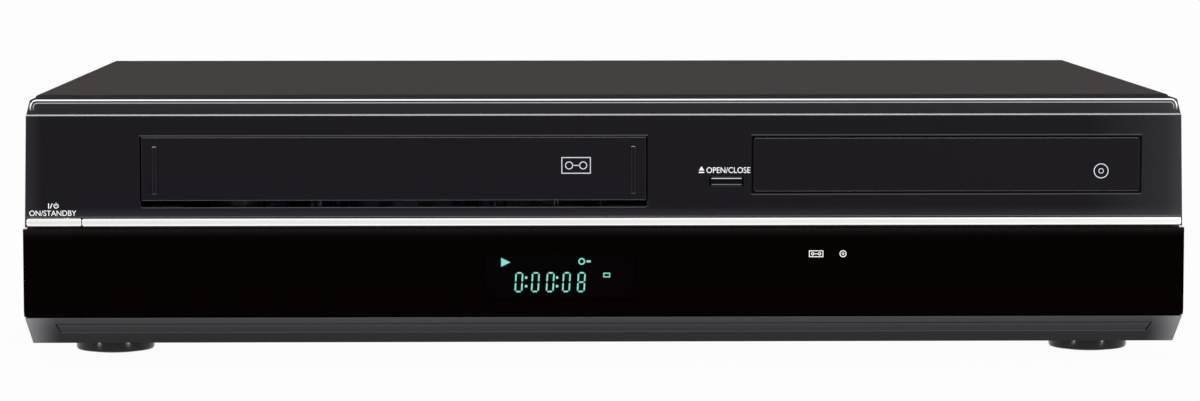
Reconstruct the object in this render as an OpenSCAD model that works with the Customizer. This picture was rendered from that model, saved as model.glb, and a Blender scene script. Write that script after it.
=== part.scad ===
// Combined disc and cassette player: a low, wide case with a flip-down front door.
// Millimetres. +X is to the user's right, the front faces -Y and +Z is up.
// The origin is in the middle of the outer box, on the surface under the feet.

/* [Case] */
// Width over the front door, the widest piece
body_w = 435; // [430:0.5:450]
// Height from the surface to the top of the cover
body_h = 99.5; // [98:0.5:110]
// Depth from the front plane to the ends of the rear sockets
body_d = 327; // [322:1:360]
// Thickness of the sheet steel
sheet_t = 1; // [0.6:0.1:1.4]
// How far the cover's sides stand in from the door's ends
side_inset = 1.5; // [1:0.1:3]
// Outer corner radius of the bezel
corner_r = 1.5; // [1:0.25:4]
// Outer bend radius of the cover's top edges
bend_r = 1.2; // [1.1:0.1:3]
// How far the rear sockets stand out of the rear panel
socket_proud = 7; // [5:0.5:10]
// Height of the bottom plate above the surface
belly_z = 7.5; // [7:0.25:9]

/* [Feet] */
// Diameter of a foot
foot_d = 30; // [24:1:36]
// Distance of the foot centres in from the ends of the front door
foot_inset = 29.2; // [25.5:0.1:42.5]
// Distance of the front feet behind the front plane
foot_front = 47.8; // [46:0.1:60]
// Distance of the rear feet in front of the rear sockets' ends
foot_rear = 49.2; // [40:0.1:90]
// Diameter of the rubber pad under a foot
pad_d = 20; // [12:1:22]

/* [Front bezel] */
// Depth of the bezel's top face
bezel_d = 30; // [25:1:36]
// Wall thickness of the bezel
wall_t = 2.4; // [1.8:0.1:2.8]
// Distance from the cassette slot down to the middle of the silver strip
strip_drop = 5.5; // [5.1:0.05:5.6]
// Height of the silver strip
strip_h = 3.2; // [2:0.1:3.4]
// Thickness of the silver strip
strip_t = 3.5; // [2.5:0.1:3.8]
// Length of the power button at the strip's left end
power_l = 20.3; // [16:0.1:30]
// How far the control face lies behind the front plane
control_back = 7; // [6.5:0.1:8]
// How far the upper face lies behind the front plane
face_back = 0.6; // [0.4:0.1:1.2]
// Height of the set-back band under the top lip
band_h = 4.6; // [3:0.1:5]

/* [Front door] */
// Height of the door's lower edge
door_z = 17.6; // [17:0.1:19]
// Gap between the door and the silver strip
door_gap = 0.9; // [0.8:0.05:5]
// Thickness of the door
door_t = 4; // [3.6:0.1:4.4]
// Distance from the door's front and lower faces to its hinge axis
hinge_r = 3; // [2.8:0.1:3.4]
// Distance of the hinges in from the ends of the door
hinge_inset = 12.5; // [9.5:0.5:60]
// Radius of the steel hinge pins
pin_r = 1; // [0.7:0.05:1.1]

/* [Cassette deck] */
// Middle of the cassette slot left of the case's middle, as a share of the width
deck_share = 0.1815; // [0.175:0.0005:0.188]
// Width of the cassette slot
slot_w = 189.6; // [189:0.1:192]
// Distance from the top of the cover down to the cassette slot
slot_drop = 14.1; // [13.6:0.1:14.5]
// Height of the cassette slot
slot_h = 26.5; // [26:0.1:27]
// Height of the cassette flap
flap_h = 23.6; // [22:0.1:24]
// Distance from the cassette slot down to the deck plate's underside
deck_drop = 28.9; // [28.2:0.1:29.9]
// How far the basket travels back
basket_back = 30; // [24:1:32]
// How far the basket travels down
basket_down = 22; // [18:1:23]
// Distance between the two reels
reel_pitch = 92.5; // [90:0.5:95]
// Distance of the reels behind the front plane
reel_back = 84.5; // [80:0.5:90]
// Diameter of the head drum
drum_d = 62; // [50:1:64]
// Tilt of the head drum
drum_tilt = 5; // [0:0.5:8]
// Distance of the head drum's middle behind the front plane
drum_back = 177; // [174:1:182]

/* [Disc drive] */
// Middle of the disc drive right of the case's middle, as a share of the width
drive_share = 0.2943; // [0.29:0.0001:0.298]
// Width of the disc tray's front
tray_front_w = 144.8; // [143:0.1:147]
// Height of the disc tray's front
tray_front_h = 20; // [18:0.1:21]
// Distance from the top of the cover down to the middle of the tray's front
tray_drop = 24.8; // [24:0.1:25.5]
// Width of the tray plate
tray_w = 139; // [134:0.5:140]
// Length of the tray plate
tray_l = 150; // [148:1:160]
// Diameter of the full-size disc recess
disc_d = 122; // [121:0.5:124]
// Travel of the tray
tray_out = 135; // [120:1:138]
// Gear module of the tray's rack and pinion
gear_m = 1; // [0.8:0.1:1.1]
// Teeth on the tray's pinion
pinion_teeth = 12; // [10:1:13]
// Travel of the optical pickup
pickup_out = 33; // [28:1:34]

/* [Clearances] */
// Gap around a moving piece
gap = 0.3; // [0.2:0.05:0.4]
// Radial clearance of a shaft in its hole
run = 0.05; // [0.02:0.01:0.1]

/* [Hidden] */
$fn = 64;
eps = 0.01;

front_y = -body_d / 2;
rear_y = body_d / 2 - socket_proud;
side_x = body_w / 2 - side_inset;
bezel_y = front_y + bezel_d;
inner_x = side_x - wall_t;
cover_z = body_h - sheet_t;
foot_x = body_w / 2 - foot_inset;
hinge_x = body_w / 2 - hinge_inset;
deck_x = -body_w * deck_share;
drive_x = body_w * drive_share;
slot_z = body_h - slot_drop - slot_h;
deck_z = slot_z - deck_drop;
tray_front_z = body_h - tray_drop;
strip_z = slot_z - strip_drop;
door_h = strip_z - strip_h / 2 - door_gap - door_z;

// front profile, from the top down
lip_h = 0.9;
lip_y = front_y + 1.5;
groove_h = 0.4;
groove_y = front_y + 2.6;
band_y = front_y + 2.1;
band_top = body_h - lip_h - groove_h;
band_z = band_top - band_h;
face_y = front_y + face_back;
strip_seat_y = front_y + strip_t;
seat_margin = 0.3;
strip_lo = strip_z - strip_h / 2 - seat_margin;
strip_hi = strip_z + strip_h / 2 + seat_margin;
control_y = front_y + control_back;
skirt_z = door_z - 0.2;
skirt_y = front_y + 1.2;
skirt_foot_z = belly_z - 0.8;
skirt_foot_y = front_y + 13;
skirt_in = 1.1;
skirt_run = (skirt_foot_y - skirt_y) / (skirt_z - skirt_foot_z);
skirt_wall = wall_t * norm([1, skirt_run]);
face_in = face_y + wall_t;
control_in = control_y + wall_t;

// front circuit board, behind the control face
board_t = 1.6;
boss_l = 4;
board_y = control_in + boss_l;
board_lo = door_z + 2.5;
board_hi = strip_lo - 1.8;
switch_t = 2.2;

// door and its hinge
hinge_y = front_y + hinge_r;
hinge_z = door_z + hinge_r;
lug_w = 3;
lug_r = pin_r + 0.95;
pocket_r = hinge_r - 0.8;
pin_l = 12;

// cassette flap
flap_w = slot_w - 4 * gap;
flap_z = slot_z + slot_h - flap_h - gap;
flap_t = 1.8;
flap_y = front_y + 0.8;
flap_pin_r = 1;
flap_axis_y = front_y + 5.5;
flap_axis_z = slot_z + slot_h + 3.6;
flap_arm_r = 2;
flap_arm_w = 2;
ear_w = 1.8;

// cassette carriage
basket_wall = 1.2;
basket_x = flap_w / 2 + 0.4;
basket_out_x = basket_x + basket_wall;
basket_y0 = front_y + 8.5;
basket_y1 = front_y + 106;
basket_z = slot_z - 1.1;
basket_top = slot_z + 24.7;
ledge_w = 16;
plate_x = basket_out_x + 1.7;
plate_t = 1.4;
guide_r = 1.5;
guide_l = 4.6;
guide_z = slot_z + 13;
guide_ys = [front_y + 24, front_y + 88];
basket_run = norm([basket_back, basket_down]);
basket_angle = atan2(-basket_down, basket_back);
deck_t = 1.5;
deck_top = deck_z + deck_t;
deck_w = 2 * (plate_x + plate_t) + 2.2;
deck_y0 = board_y + board_t + 2.4;
deck_reach = 225;
deck_y1 = front_y + deck_reach;

// reels, drum and capstan
reel_y = front_y + reel_back;
reel_r = 21;
reel_pin_r = 1.5;
drum_y = front_y + drum_back;
drum_r = drum_d / 2;
drum_split = 15;
drum_upper = 11;
drum_shaft_r = 2;
capstan_x = deck_x + 62;
capstan_back = 145.5;
capstan_y = front_y + capstan_back;
capstan_r = 1.5;
capstan_top = deck_top + 28;
flywheel_r = 20;
roller_r = 6;
arm_pin_r = 1.5;
arm_dx = 18;
arm_dy = 14;
arm_x = capstan_x + arm_dx;
arm_y = capstan_y + arm_dy;
arm_l = norm([arm_dx, arm_dy]) - roller_r - capstan_r - gap;
arm_swing = 20;
arm_rest = 180 + atan2(arm_dy, arm_dx) + arm_swing;
cam_side = 74;
cam_x = deck_x - cam_side;
cam_y = drum_y + 5;
cam_r = 15;
motor_x = deck_x - cam_side;
motor_y = drum_y + 36;
pulley_z = deck_top + 22;
pulley_span = 34;
motor_pulley_r = 3.2;
worm_pulley_r = 7;

// disc drive
drive_w = tray_w + 1;
drive_wall = 2;
drive_z = tray_front_z - 14.7;
drive_floor = 2;
drive_y0 = front_y + 11.5;
drive_y1 = front_y + 203.5;
drive_top = drive_z + 28;
tray_z = drive_z + 12.1;
tray_t = 3;
tray_y0 = front_y + 5.5;
tray_front_t = 2.7;
tray_front_y = front_y + 0.3;
spindle_y = front_y + 75.5;
rail_w = 2.6;
pinion_r = gear_m * pinion_teeth / 2;
pinion_y = front_y + 19;
rack_w = 3;
rack_x = drive_x - tray_w / 2 + rail_w + 1.2;
addendum = 0.65 * gear_m;
dedendum = 0.95 * gear_m;
pressure = 20;
backlash = 0.3;
pinion_x = rack_x + rack_w + pinion_r;
rack_teeth = floor((tray_out + 12) / (PI * gear_m));
gear_z = drive_z + drive_floor + 3;
gear_t = 5;
rod_r = 1.5;
rod_x = 22;
rod_z = drive_z + 6;
rod_y0 = spindle_y + 18;
rod_y1 = rod_y0 + pickup_out + 42;
pickup_l = 30;
pickup_y = rod_y0 + 4 + gap;
screw_x = 33;
turntable_r = 15;
turntable_z = tray_z - 1.4;
bridge_z = drive_top;
bridge_t = 1.5;
puck_r = 14;
puck_neck_r = 8;

// boards and rear fittings
pcb_t = 1.6;
floor_z = belly_z + sheet_t;
frame_t = 2;
pcb_z = floor_z + frame_t + 3;
pcb_top = pcb_z + pcb_t;
board_side = 10;
main_x0 = deck_x + deck_w / 2 + 9;
main_x1 = side_x - board_side;
main_y0 = front_y + 34;
main_y1 = rear_y - 8;
psu_x0 = -(side_x - board_side);
psu_x1 = -body_w * 0.069;
psu_y0 = drum_y + 60;
psu_u = (psu_x1 - psu_x0) / 44;
psu_v = (main_y1 - psu_y0) / 15;
post_r = 4;
fan_x = -body_w * 0.1724;
fan_z = 56;
fan_w = 40;
fan_t = 10;
fan_shaft_r = 1.5;
inlet_x = -body_w * 0.4092;
inlet_z = 34;
socket_r = 4.15;
socket_pitch = (main_x1 - main_x0) * 0.1023;
socket_half = socket_pitch / 2 - 1.5;
rear_socket_xs = [for (i = [0 : 5]) main_x0 + 14 + i * socket_pitch];
rear_socket_zs = [30, 48];
aerial_r = 4.75;
aerial_x = side_x - 26;
aerial_zs = [32, 50];
front_socket_xs = [side_x - 84, side_x - 66, side_x - 48];
round_socket_x = side_x - 104;
key_z = door_z + 16.4;
key_h = 6;
tube_x = -body_w * 0.0345;
tube_w = 86;
tube_h = strip_lo - board_lo - 7.7;
tube_z = board_lo + tube_h / 2 + 0.9;
eject_w = 11.8;
eject_h = 2.7;
eject_x = drive_x - tray_front_w / 2 - 10.2;
eject_z = tray_front_z - 6.25;
tab_x0 = deck_x + basket_out_x + guide_l + 1;
tab_x1 = drive_x - drive_w / 2 - drive_wall - 1;
tab_hi = eject_z + 5.5;

feet_xy = [for (x = [-foot_x, foot_x], y = [front_y + foot_front, body_d / 2 - foot_rear]) [x, y]];

// case details
flare = 0.8;
brow_in = 1.1;
skirt_half = body_w / 2 - 0.3;
end_wall = 0.5;
seat_x = side_x + flare - end_wall;
inner_bend_r = max(bend_r - sheet_t, 0.5);
cover_gap = 0.2;
cover_lo = belly_z + 0.5;
panel_y = rear_y - sheet_t;
plate_half = side_x - sheet_t - cover_gap;
side_screw_z = belly_z + 7.5;
side_screw_ys = [bezel_y + 33.5, rear_y - 56.5];
rear_screw_z = cover_z - 5;
rear_screw_xs = [21 - side_x, 0, side_x - 21];
screw_r = 1.5;
screw_hole_r = screw_r + 0.1;
head_r = 3.4;
head_t = 1.3;
foot_lift = 0.6;
pad_seat = 1.6;
beam_lo = skirt_foot_z + wall_t + 0.2;
beam_y = skirt_at(beam_lo) + skirt_wall + 0.5;
keys_xw = [[44 - side_x, 14], [70 - side_x, 14], [98 - side_x, 18], [side_x - 140, 26]];
power_x0 = -(seat_x - gap);
power_x1 = power_x0 + power_l;
power_mid = (power_x0 + power_x1) / 2;
strip_x0 = power_x1 + gap + 0.1;
strip_x1 = seat_x - 0.1;
power_pocket = 1.4;
board_half = inner_x - 4;
boss_r = 2.5;
boss_pin_r = 1.2;
boss_xs = [-board_half + 8, -body_w * 0.184, body_w * 0.138, board_half - 8];
boss_z = board_lo + 5;
socket_gap = 0.35;
collar_t = 0.2;
collar_y = panel_y + 0.3;
trim_top = skirt_z - 2.7;
trim_lo = skirt_foot_z + 4.4;
trim_t = 1.2;
trim_x_top = hinge_x + 2.3;
trim_x_lo = hinge_x - 2.2;
slot_x = main_x0 + 14 + 6 * socket_pitch;
video_w = 15;
video_h = 5.5;
inlet_w = 22;
inlet_h = 14;
deck_posts = [for (x = [-1, 1], y = [deck_y0 + 8, deck_y1 - 8]) [deck_x + x * (deck_w / 2 - 5), y]];
drive_posts = [for (x = [-1, 1], y = [drive_y0 + 12, drive_y1 - 10]) [drive_x + x * (drive_w / 2 - 7), y]];
main_posts = [for (x = [main_x0 + 6, main_x1 - 6], y = [main_y0 + 6, main_y1 - 26]) [x, y]];
power_posts = [for (x = [psu_x0 + 6, psu_x1 - 6], y = [psu_y0 + 6, main_y1 - 8]) [x, y]];

module block(x0, x1, y0, y1, z0, z1) {
    translate([x0, y0, z0]) cube([x1 - x0, y1 - y0, z1 - z0]);
}

// a profile in Y and Z, drawn out along X
module along_x(x0, x1) {
    translate([x0, 0, 0]) rotate([90, 0, 90]) linear_extrude(x1 - x0) children();
}

// a profile in X and Z, drawn out along Y
module along_y(y0, y1) {
    translate([0, y1, 0]) rotate([90, 0, 0]) linear_extrude(y1 - y0) children();
}

module rod_along_x(x0, x1, y, z, r) {
    translate([x0, y, z]) rotate([0, 90, 0]) cylinder(h = x1 - x0, r = r);
}

module rod_along_y(y0, y1, x, z, r) {
    translate([x, y1, z]) rotate([90, 0, 0]) cylinder(h = y1 - y0, r = r);
}

module post(x, y, z0, z1, r) {
    translate([x, y, z0]) cylinder(h = z1 - z0, r = r);
}

module both_sides() {
    children();
    mirror([1, 0, 0]) children();
}

module rounded(x, z, w, h, r) {
    translate([x - w / 2 + r, z - h / 2]) square([w - 2 * r, h]);
    translate([x - w / 2, z - h / 2 + r]) square([w, h - 2 * r]);
    for (sx = [-1, 1], sz = [-1, 1])
        translate([x + sx * (w / 2 - r), z + sz * (h / 2 - r)]) circle(r);
}

// outline of the case in X and Z, with round upper corners
module case_outline(x, z0, z1, r) {
    translate([-x, z0]) square([2 * x, z1 - r - z0]);
    translate([-(x - r), z0]) square([2 * (x - r), z1 - z0]);
    for (s = [-1, 1]) translate([s * (x - r), z1 - r]) circle(r);
}

// the bezel's own outline: it flares a little downwards, widens under the door and draws in at
// the skirt
module bezel_outline(inset) {
    low = side_x + flare - skirt_in - inset;
    mid = side_x + flare - inset;
    top = side_x - inset;
    brow = top - brow_in;
    wide = skirt_half - inset;
    z0 = skirt_foot_z + inset;
    z1 = body_h - inset;
    r = max(corner_r - inset, 0.5);
    polygon([
        [-low, z0], [low, z0], [wide, skirt_z], [mid, skirt_z], [mid, strip_lo], [top, band_z],
        [brow, z1 - r], [-brow, z1 - r], [-top, band_z], [-mid, strip_lo], [-mid, skirt_z],
        [-wide, skirt_z]
    ]);
    translate([-(brow - r), band_z]) square([2 * (brow - r), z1 - band_z]);
    for (s = [-1, 1]) translate([s * (brow - r), z1 - r]) circle(r);
}

function skirt_at(z) = skirt_y + (skirt_z - z) * skirt_run;

module bezel_profile() {
    polygon([
        [bezel_y, body_h], [lip_y + 0.6, body_h], [lip_y, body_h - 0.6], [lip_y, body_h - lip_h],
        [groove_y, body_h - lip_h], [groove_y, band_top], [band_y, band_top], [band_y, band_z],
        [face_y + 0.3, band_z], [face_y, band_z - 0.3], [face_y, strip_lo], [control_y, strip_lo],
        [control_y, skirt_z], [skirt_y, skirt_z], [skirt_foot_y, skirt_foot_z], [bezel_y, skirt_foot_z]
    ]);
}

module bezel_hollow_profile() {
    ledge_z = skirt_z - wall_t;
    foot_z = skirt_foot_z + wall_t;
    step_z = band_z - wall_t / 2;
    polygon([
        [bezel_y + 1, body_h - wall_t], [band_y + wall_t, body_h - wall_t], [band_y + wall_t, step_z],
        [face_in, step_z], [face_in, strip_hi + wall_t], [strip_seat_y + wall_t, strip_hi + wall_t],
        [strip_seat_y + wall_t, strip_lo + wall_t], [control_in, strip_lo + wall_t],
        [control_in, ledge_z], [skirt_at(ledge_z) + skirt_wall, ledge_z],
        [skirt_at(foot_z) + skirt_wall, foot_z], [bezel_y + 1, foot_z]
    ]);
}

// the strip let into the skirt: its edge line, moved in by depth and grown by margin, which is
// closest along the top
module trim_profile(depth, margin) {
    n = norm([1, skirt_run]);
    dy = depth / n;
    dz = depth * skirt_run / n;
    z1 = trim_top + margin / 4;
    z0 = trim_lo - margin;
    polygon([
        [skirt_at(z1) - margin, z1], [skirt_at(z0) - margin, z0],
        [skirt_at(z0) + dy, z0 + dz], [skirt_at(z1) + dy, z1 + dz]
    ]);
}

module trim_outline(margin) {
    polygon([
        [-trim_x_lo - margin, trim_lo - 3], [trim_x_lo + margin, trim_lo - 3],
        [trim_x_top + margin, trim_top + 3], [-trim_x_top - margin, trim_top + 3]
    ]);
}

module skirt_trim(depth, margin) {
    intersection() {
        along_x(-body_w / 2, body_w / 2) trim_profile(depth, margin);
        along_y(front_y - 5, bezel_y) trim_outline(margin * 2.5);
    }
}

module bezel_openings() {
    y0 = front_y - 5;
    along_y(y0, band_y + wall_t + 2)
        rounded(deck_x, slot_z + slot_h / 2, slot_w, slot_h, 1.2);
    along_y(y0, face_in + 2)
        rounded(drive_x, tray_front_z, tray_front_w + 2 * gap, tray_front_h + 2 * gap, 1.2);
    along_y(y0, face_in + 2)
        rounded(eject_x, eject_z, eject_w + 2 * gap, eject_h + 2 * gap, 0.9);
    along_y(y0, control_in + 1)
        rounded(tube_x, tube_z, tube_w + 1, tube_h + 1, 1);
    for (k = keys_xw)
        along_y(y0, control_in + 1) rounded(k[0], key_z, k[1] + 2 * gap, key_h + 2 * gap, 1);
    for (x = front_socket_xs)
        rod_along_y(y0, control_in + 1, x, key_z, socket_r + socket_gap);
    rod_along_y(y0, control_in + 1, round_socket_x, key_z, aerial_r + socket_gap);
    block(-seat_x, seat_x, y0, strip_seat_y, strip_lo, strip_hi);
    block(-seat_x, power_x1 + gap, y0, strip_seat_y + power_pocket, strip_lo, strip_hi);
    block(power_mid - 1.5 - gap, power_mid + 1.5 + gap, y0, control_in + 1,
        strip_z - 1 - gap, strip_z + 1 + gap);
    skirt_trim(trim_t, 0.2);
}

module hinge_lug(x) {
    difference() {
        union() {
            rod_along_x(x - lug_w / 2, x + lug_w / 2, hinge_y, hinge_z, lug_r);
            block(x - lug_w / 2, x + lug_w / 2, hinge_y, control_y + 1,
                hinge_z - lug_r + 0.6, hinge_z + lug_r - 0.6);
        }
        rod_along_x(x - lug_w, x + lug_w, hinge_y, hinge_z, pin_r + run);
    }
}

module flap_ear(x0) {
    difference() {
        block(x0, x0 + ear_w, face_in - 1, flap_axis_y + flap_arm_r + 0.4,
            flap_axis_z - flap_arm_r - 0.2, flap_axis_z + flap_arm_r + 1);
        rod_along_x(x0 - 1, x0 + ear_w + 1, flap_axis_y, flap_axis_z, flap_pin_r);
    }
}

module front_bezel() {
    color([0.12, 0.11, 0.13]) {
        difference() {
            intersection() {
                along_x(-body_w / 2, body_w / 2) bezel_profile();
                along_y(front_y - 5, bezel_y + 5) bezel_outline(0);
            }
            intersection() {
                along_x(-body_w / 2, body_w / 2) bezel_hollow_profile();
                along_y(front_y - 5, bezel_y + 5) bezel_outline(wall_t);
            }
            bezel_openings();
        }
        for (s = [-1, 1]) hinge_lug(s * hinge_x);
        flap_ear(deck_x - flap_w / 2 - 0.4 - ear_w);
        flap_ear(deck_x + flap_w / 2 + 0.4);
        for (x = boss_xs) {
            rod_along_y(control_in - 1, board_y, x, boss_z, boss_r);
            rod_along_y(board_y - 1, board_y + board_t + 0.8, x, boss_z, boss_pin_r);
        }
        for (i = [-1.5 : 1.5]) let (x = i * side_x * 0.463)
            block(x - 6, x + 6, bezel_y - 3, bezel_y + 7, body_h - wall_t - 0.6, cover_z - 0.1);
    }
}

module silver_strip() {
    y0 = front_y;
    y1 = strip_seat_y;
    z0 = strip_z - strip_h / 2;
    z1 = strip_z + strip_h / 2;
    color([0.85, 0.85, 0.86])
        along_x(strip_x0, strip_x1)
            polygon([[y1, z0], [y1, z1], [y0 + 0.4, z1], [y0, z1 - 0.4], [y0, z0 + 0.4], [y0 + 0.4, z0]]);
}

module hinge_cover_strip() {
    color([0.2, 0.19, 0.21]) skirt_trim(trim_t - eps * 2, 0);
}

module top_cover() {
    flange_h = 11;
    color([0.27, 0.26, 0.26]) difference() {
        union() {
            difference() {
                along_y(bezel_y + cover_gap, rear_y) case_outline(side_x, cover_lo, body_h, bend_r);
                along_y(bezel_y, rear_y + 5)
                    case_outline(side_x - sheet_t, 0, cover_z, inner_bend_r);
            }
            block(-(side_x - 2), side_x - 2, panel_y, rear_y, cover_z - flange_h, cover_z + sheet_t / 2);
        }
        for (y = side_screw_ys) rod_along_x(-body_w, body_w, y, side_screw_z, screw_hole_r);
        for (x = rear_screw_xs) rod_along_y(panel_y - 5, rear_y + 5, x, rear_screw_z, screw_hole_r);
    }
}

module bottom_plate() {
    y0 = bezel_y + cover_gap;
    y1 = panel_y - sheet_t;
    vent_l = 26;
    vents_x = side_x - 66;
    color([0.62, 0.63, 0.64]) difference() {
        union() {
            block(-plate_half, plate_half, y0, y1, belly_z, floor_z);
            both_sides() block(plate_half - sheet_t, plate_half, y0 + 4, y1 - 1, belly_z, belly_z + 13);
        }
        for (p = feet_xy) post(p[0], p[1], 0, body_h, screw_hole_r);
        for (x = [-vents_x : 12 : vents_x], y = [front_y + 123.5, front_y + 183.5, front_y + 233.5])
            block(x - 2, x + 2, y, y + vent_l, belly_z - 1, floor_z + 1);
        for (y = side_screw_ys) rod_along_x(-body_w, body_w, y, side_screw_z, screw_hole_r);
    }
}

module rear_panel() {
    hole_pitch = 5.4;
    color([0.66, 0.67, 0.68]) difference() {
        along_y(panel_y - sheet_t, panel_y)
            case_outline(side_x - sheet_t - 0.3, floor_z, cover_z - 0.1, inner_bend_r);
        for (x = rear_socket_xs, z = rear_socket_zs)
            rod_along_y(panel_y - 5, rear_y + 5, x, z, socket_r + socket_gap);
        for (z = aerial_zs) rod_along_y(panel_y - 5, rear_y + 5, aerial_x, z, aerial_r + socket_gap);
        block(slot_x - video_w / 2 - 0.4, slot_x + video_w / 2 + 0.4, panel_y - 5, rear_y,
            rear_socket_zs[0] - video_h / 2 - 0.4, rear_socket_zs[0] + video_h / 2 + 0.4);
        block(inlet_x - inlet_w / 2 - 0.4, inlet_x + inlet_w / 2 + 0.4, panel_y - 5, rear_y,
            inlet_z - inlet_h / 2 - 0.4, inlet_z + inlet_h / 2 + 0.4);
        for (i = [-3 : 3], j = [-3 : 3])
            if (norm([i, j]) < 3.3)
                rod_along_y(panel_y - 5, rear_y, fan_x + i * hole_pitch, fan_z + j * hole_pitch, 2.1);
        for (x = rear_screw_xs) rod_along_y(panel_y - 5, rear_y + 5, x, rear_screw_z, screw_hole_r);
    }
}

module feet() {
    r = foot_d / 2;
    color([0.03, 0.03, 0.03]) for (p = feet_xy) {
        translate([p[0], p[1], 0]) rotate_extrude() polygon([
            [0, pad_seat], [pad_d / 2, pad_seat], [pad_d / 2, foot_lift], [r - 1, foot_lift],
            [r - 0.3, foot_lift + 0.3], [r, foot_lift + 1], [r, belly_z], [0, belly_z]
        ]);
        post(p[0], p[1], belly_z - 1, floor_z + 1.5, screw_r);
    }
}

module foot_pads() {
    color([0.15, 0.15, 0.15]) for (p = feet_xy) post(p[0], p[1], 0, pad_seat, pad_d / 2);
}

module screw_head(l) {
    cylinder(h = l, r = screw_r);
    translate([0, 0, -head_t]) difference() {
        cylinder(h = head_t, r = head_r);
        for (a = [0, 90]) rotate(a) translate([-2, -0.4, -eps]) cube([4, 0.8, 0.7]);
    }
}

module cover_screws() {
    color([0.1, 0.1, 0.1]) {
        for (y = side_screw_ys) both_sides()
            translate([side_x, y, side_screw_z]) rotate([0, -90, 0]) screw_head(sheet_t * 2 + 3);
        for (x = rear_screw_xs)
            translate([x, rear_y, rear_screw_z]) rotate([90, 0, 0]) screw_head(sheet_t * 2 + 3);
    }
}

module chassis_frame() {
    half = plate_half - 8;
    y0 = bezel_y + 1;
    y1 = panel_y - 8;
    top = floor_z + frame_t;
    pitch = half * 0.2418;
    window = pitch * 0.76;
    row_y = front_y + 68.5;
    color([0.5, 0.5, 0.48]) difference() {
        union() {
            block(-half, half, y0, y1, floor_z, top);
            block(-half, half, beam_y, y0 + 2, beam_lo, beam_lo + frame_t);
            for (p = deck_posts) post(p[0], p[1], beam_lo, deck_z, post_r);
            for (p = drive_posts) post(p[0], p[1], beam_lo, drive_z, post_r);
            for (p = concat(main_posts, power_posts)) post(p[0], p[1], floor_z, pcb_z, 3);
        }
        for (p = feet_xy) post(p[0], p[1], 0, top + 1, 3);
        for (i = [-3 : 3], y = [row_y, row_y + 50]) let (x = i * pitch - 10)
            block(x, x + window, y, y + 38, floor_z - 1, top + 1);
        for (x = [deck_x - 31, deck_x + 19, deck_x + 69, drive_x - 38, drive_x + 12])
            block(x, x + 38, row_y + 100, row_y + 138, floor_z - 1, top + 1);
    }
}

// a flat panel whose lower edge is rounded about the hinge axis
module door_profile() {
    translate([front_y, hinge_z]) square([door_t, door_h - hinge_r]);
    intersection() {
        translate([hinge_y, hinge_z]) circle(hinge_r);
        translate([front_y, door_z]) square([door_t, hinge_r + 1]);
    }
}

module front_door() {
    pin_half = pin_l / 2;
    color([0.02, 0.02, 0.02]) difference() {
        along_x(-body_w / 2, body_w / 2) door_profile();
        both_sides() {
            rod_along_x(hinge_x - lug_w / 2 - 0.5, hinge_x + lug_w / 2 + 0.5, hinge_y, hinge_z, pocket_r);
            block(hinge_x - lug_w / 2 - 0.5, hinge_x + lug_w / 2 + 0.5, hinge_y - lug_r + 0.3,
                front_y + door_t + 1, door_z - 1, hinge_z + lug_r - 0.3);
            rod_along_x(hinge_x - pin_half, hinge_x + pin_half, hinge_y, hinge_z, pin_r);
        }
    }
}

module door_hinge_pins() {
    color([0.8, 0.8, 0.8]) both_sides()
        rod_along_x(hinge_x - pin_l / 2, hinge_x + pin_l / 2, hinge_y, hinge_z, pin_r);
}

module power_button() {
    z0 = strip_z - strip_h / 2;
    z1 = strip_z + strip_h / 2;
    y0 = front_y;
    y1 = strip_seat_y;
    color([0.85, 0.85, 0.86]) {
        along_x(power_x0, power_x1)
            polygon([[y1, z0], [y1, z1], [y0 + 0.4, z1], [y0, z1 - 0.4], [y0, z0 + 0.4], [y0 + 0.4, z0]]);
        block(power_mid - 1.5, power_mid + 1.5, y1 - 1, board_y - switch_t - 1, strip_z - 1, strip_z + 1);
    }
}

module eject_button() {
    color([0.12, 0.11, 0.13]) {
        along_y(front_y, face_in + 0.3) rounded(eject_x, eject_z, eject_w, eject_h, 0.8);
        along_y(face_in + 0.2, face_in + 1.2) rounded(eject_x, eject_z, eject_w + 3, eject_h + 3, 0.8);
        block(eject_x - 1.5, eject_x + 1.5, face_in + 1, board_y - switch_t - 1, eject_z - 1, eject_z + 1);
    }
}

// a key behind the door: its face, its flange and nothing behind the flange
module front_key(k) {
    color([0.18, 0.18, 0.19]) {
        along_y(control_y - 1.8, control_in + 0.2) rounded(k[0], key_z, k[1], key_h, 0.8);
        along_y(control_in + 0.1, control_in + 0.9) rounded(k[0], key_z, k[1] + 2, key_h + 2, 0.8);
    }
}

module record_key() { front_key(keys_xw[0]); }
module stop_key() { front_key(keys_xw[1]); }
module play_key() { front_key(keys_xw[2]); }
module channel_key() { front_key(keys_xw[3]); }

module tact_switch(x, z) {
    block(x - 3, x + 3, board_y - switch_t + 0.5, board_y, z - 3, z + 3);
    rod_along_y(board_y - switch_t, board_y - 1, x, z, 1.6);
}

module front_board() {
    color([0.1, 0.3, 0.16]) difference() {
        along_y(board_y, board_y + board_t) {
            translate([-board_half, board_lo]) square([2 * board_half, board_hi - board_lo]);
            translate([tab_x0, board_lo]) square([tab_x1 - tab_x0, tab_hi - board_lo]);
            translate([power_mid - 4, board_lo]) square([13, strip_z + 5 - board_lo]);
        }
        for (x = boss_xs)
            rod_along_y(board_y - 1, board_y + board_t + 1, x, boss_z, boss_pin_r + 0.1);
    }
    color([0.2, 0.2, 0.2]) {
        tact_switch(power_mid, strip_z);
        tact_switch(eject_x, eject_z);
        for (k = keys_xw) tact_switch(k[0], key_z);
    }
}

module display_tube() {
    y0 = control_y + 0.3;
    color([0.2, 0.45, 0.4]) {
        along_y(y0, board_y - 0.6) rounded(tube_x, tube_z, tube_w, tube_h, 0.8);
        for (i = [-12 : 12])
            rod_along_y(board_y - 1, board_y, tube_x + i * 3, tube_z - tube_h / 2 + 1.5, 0.35);
    }
}

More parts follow.
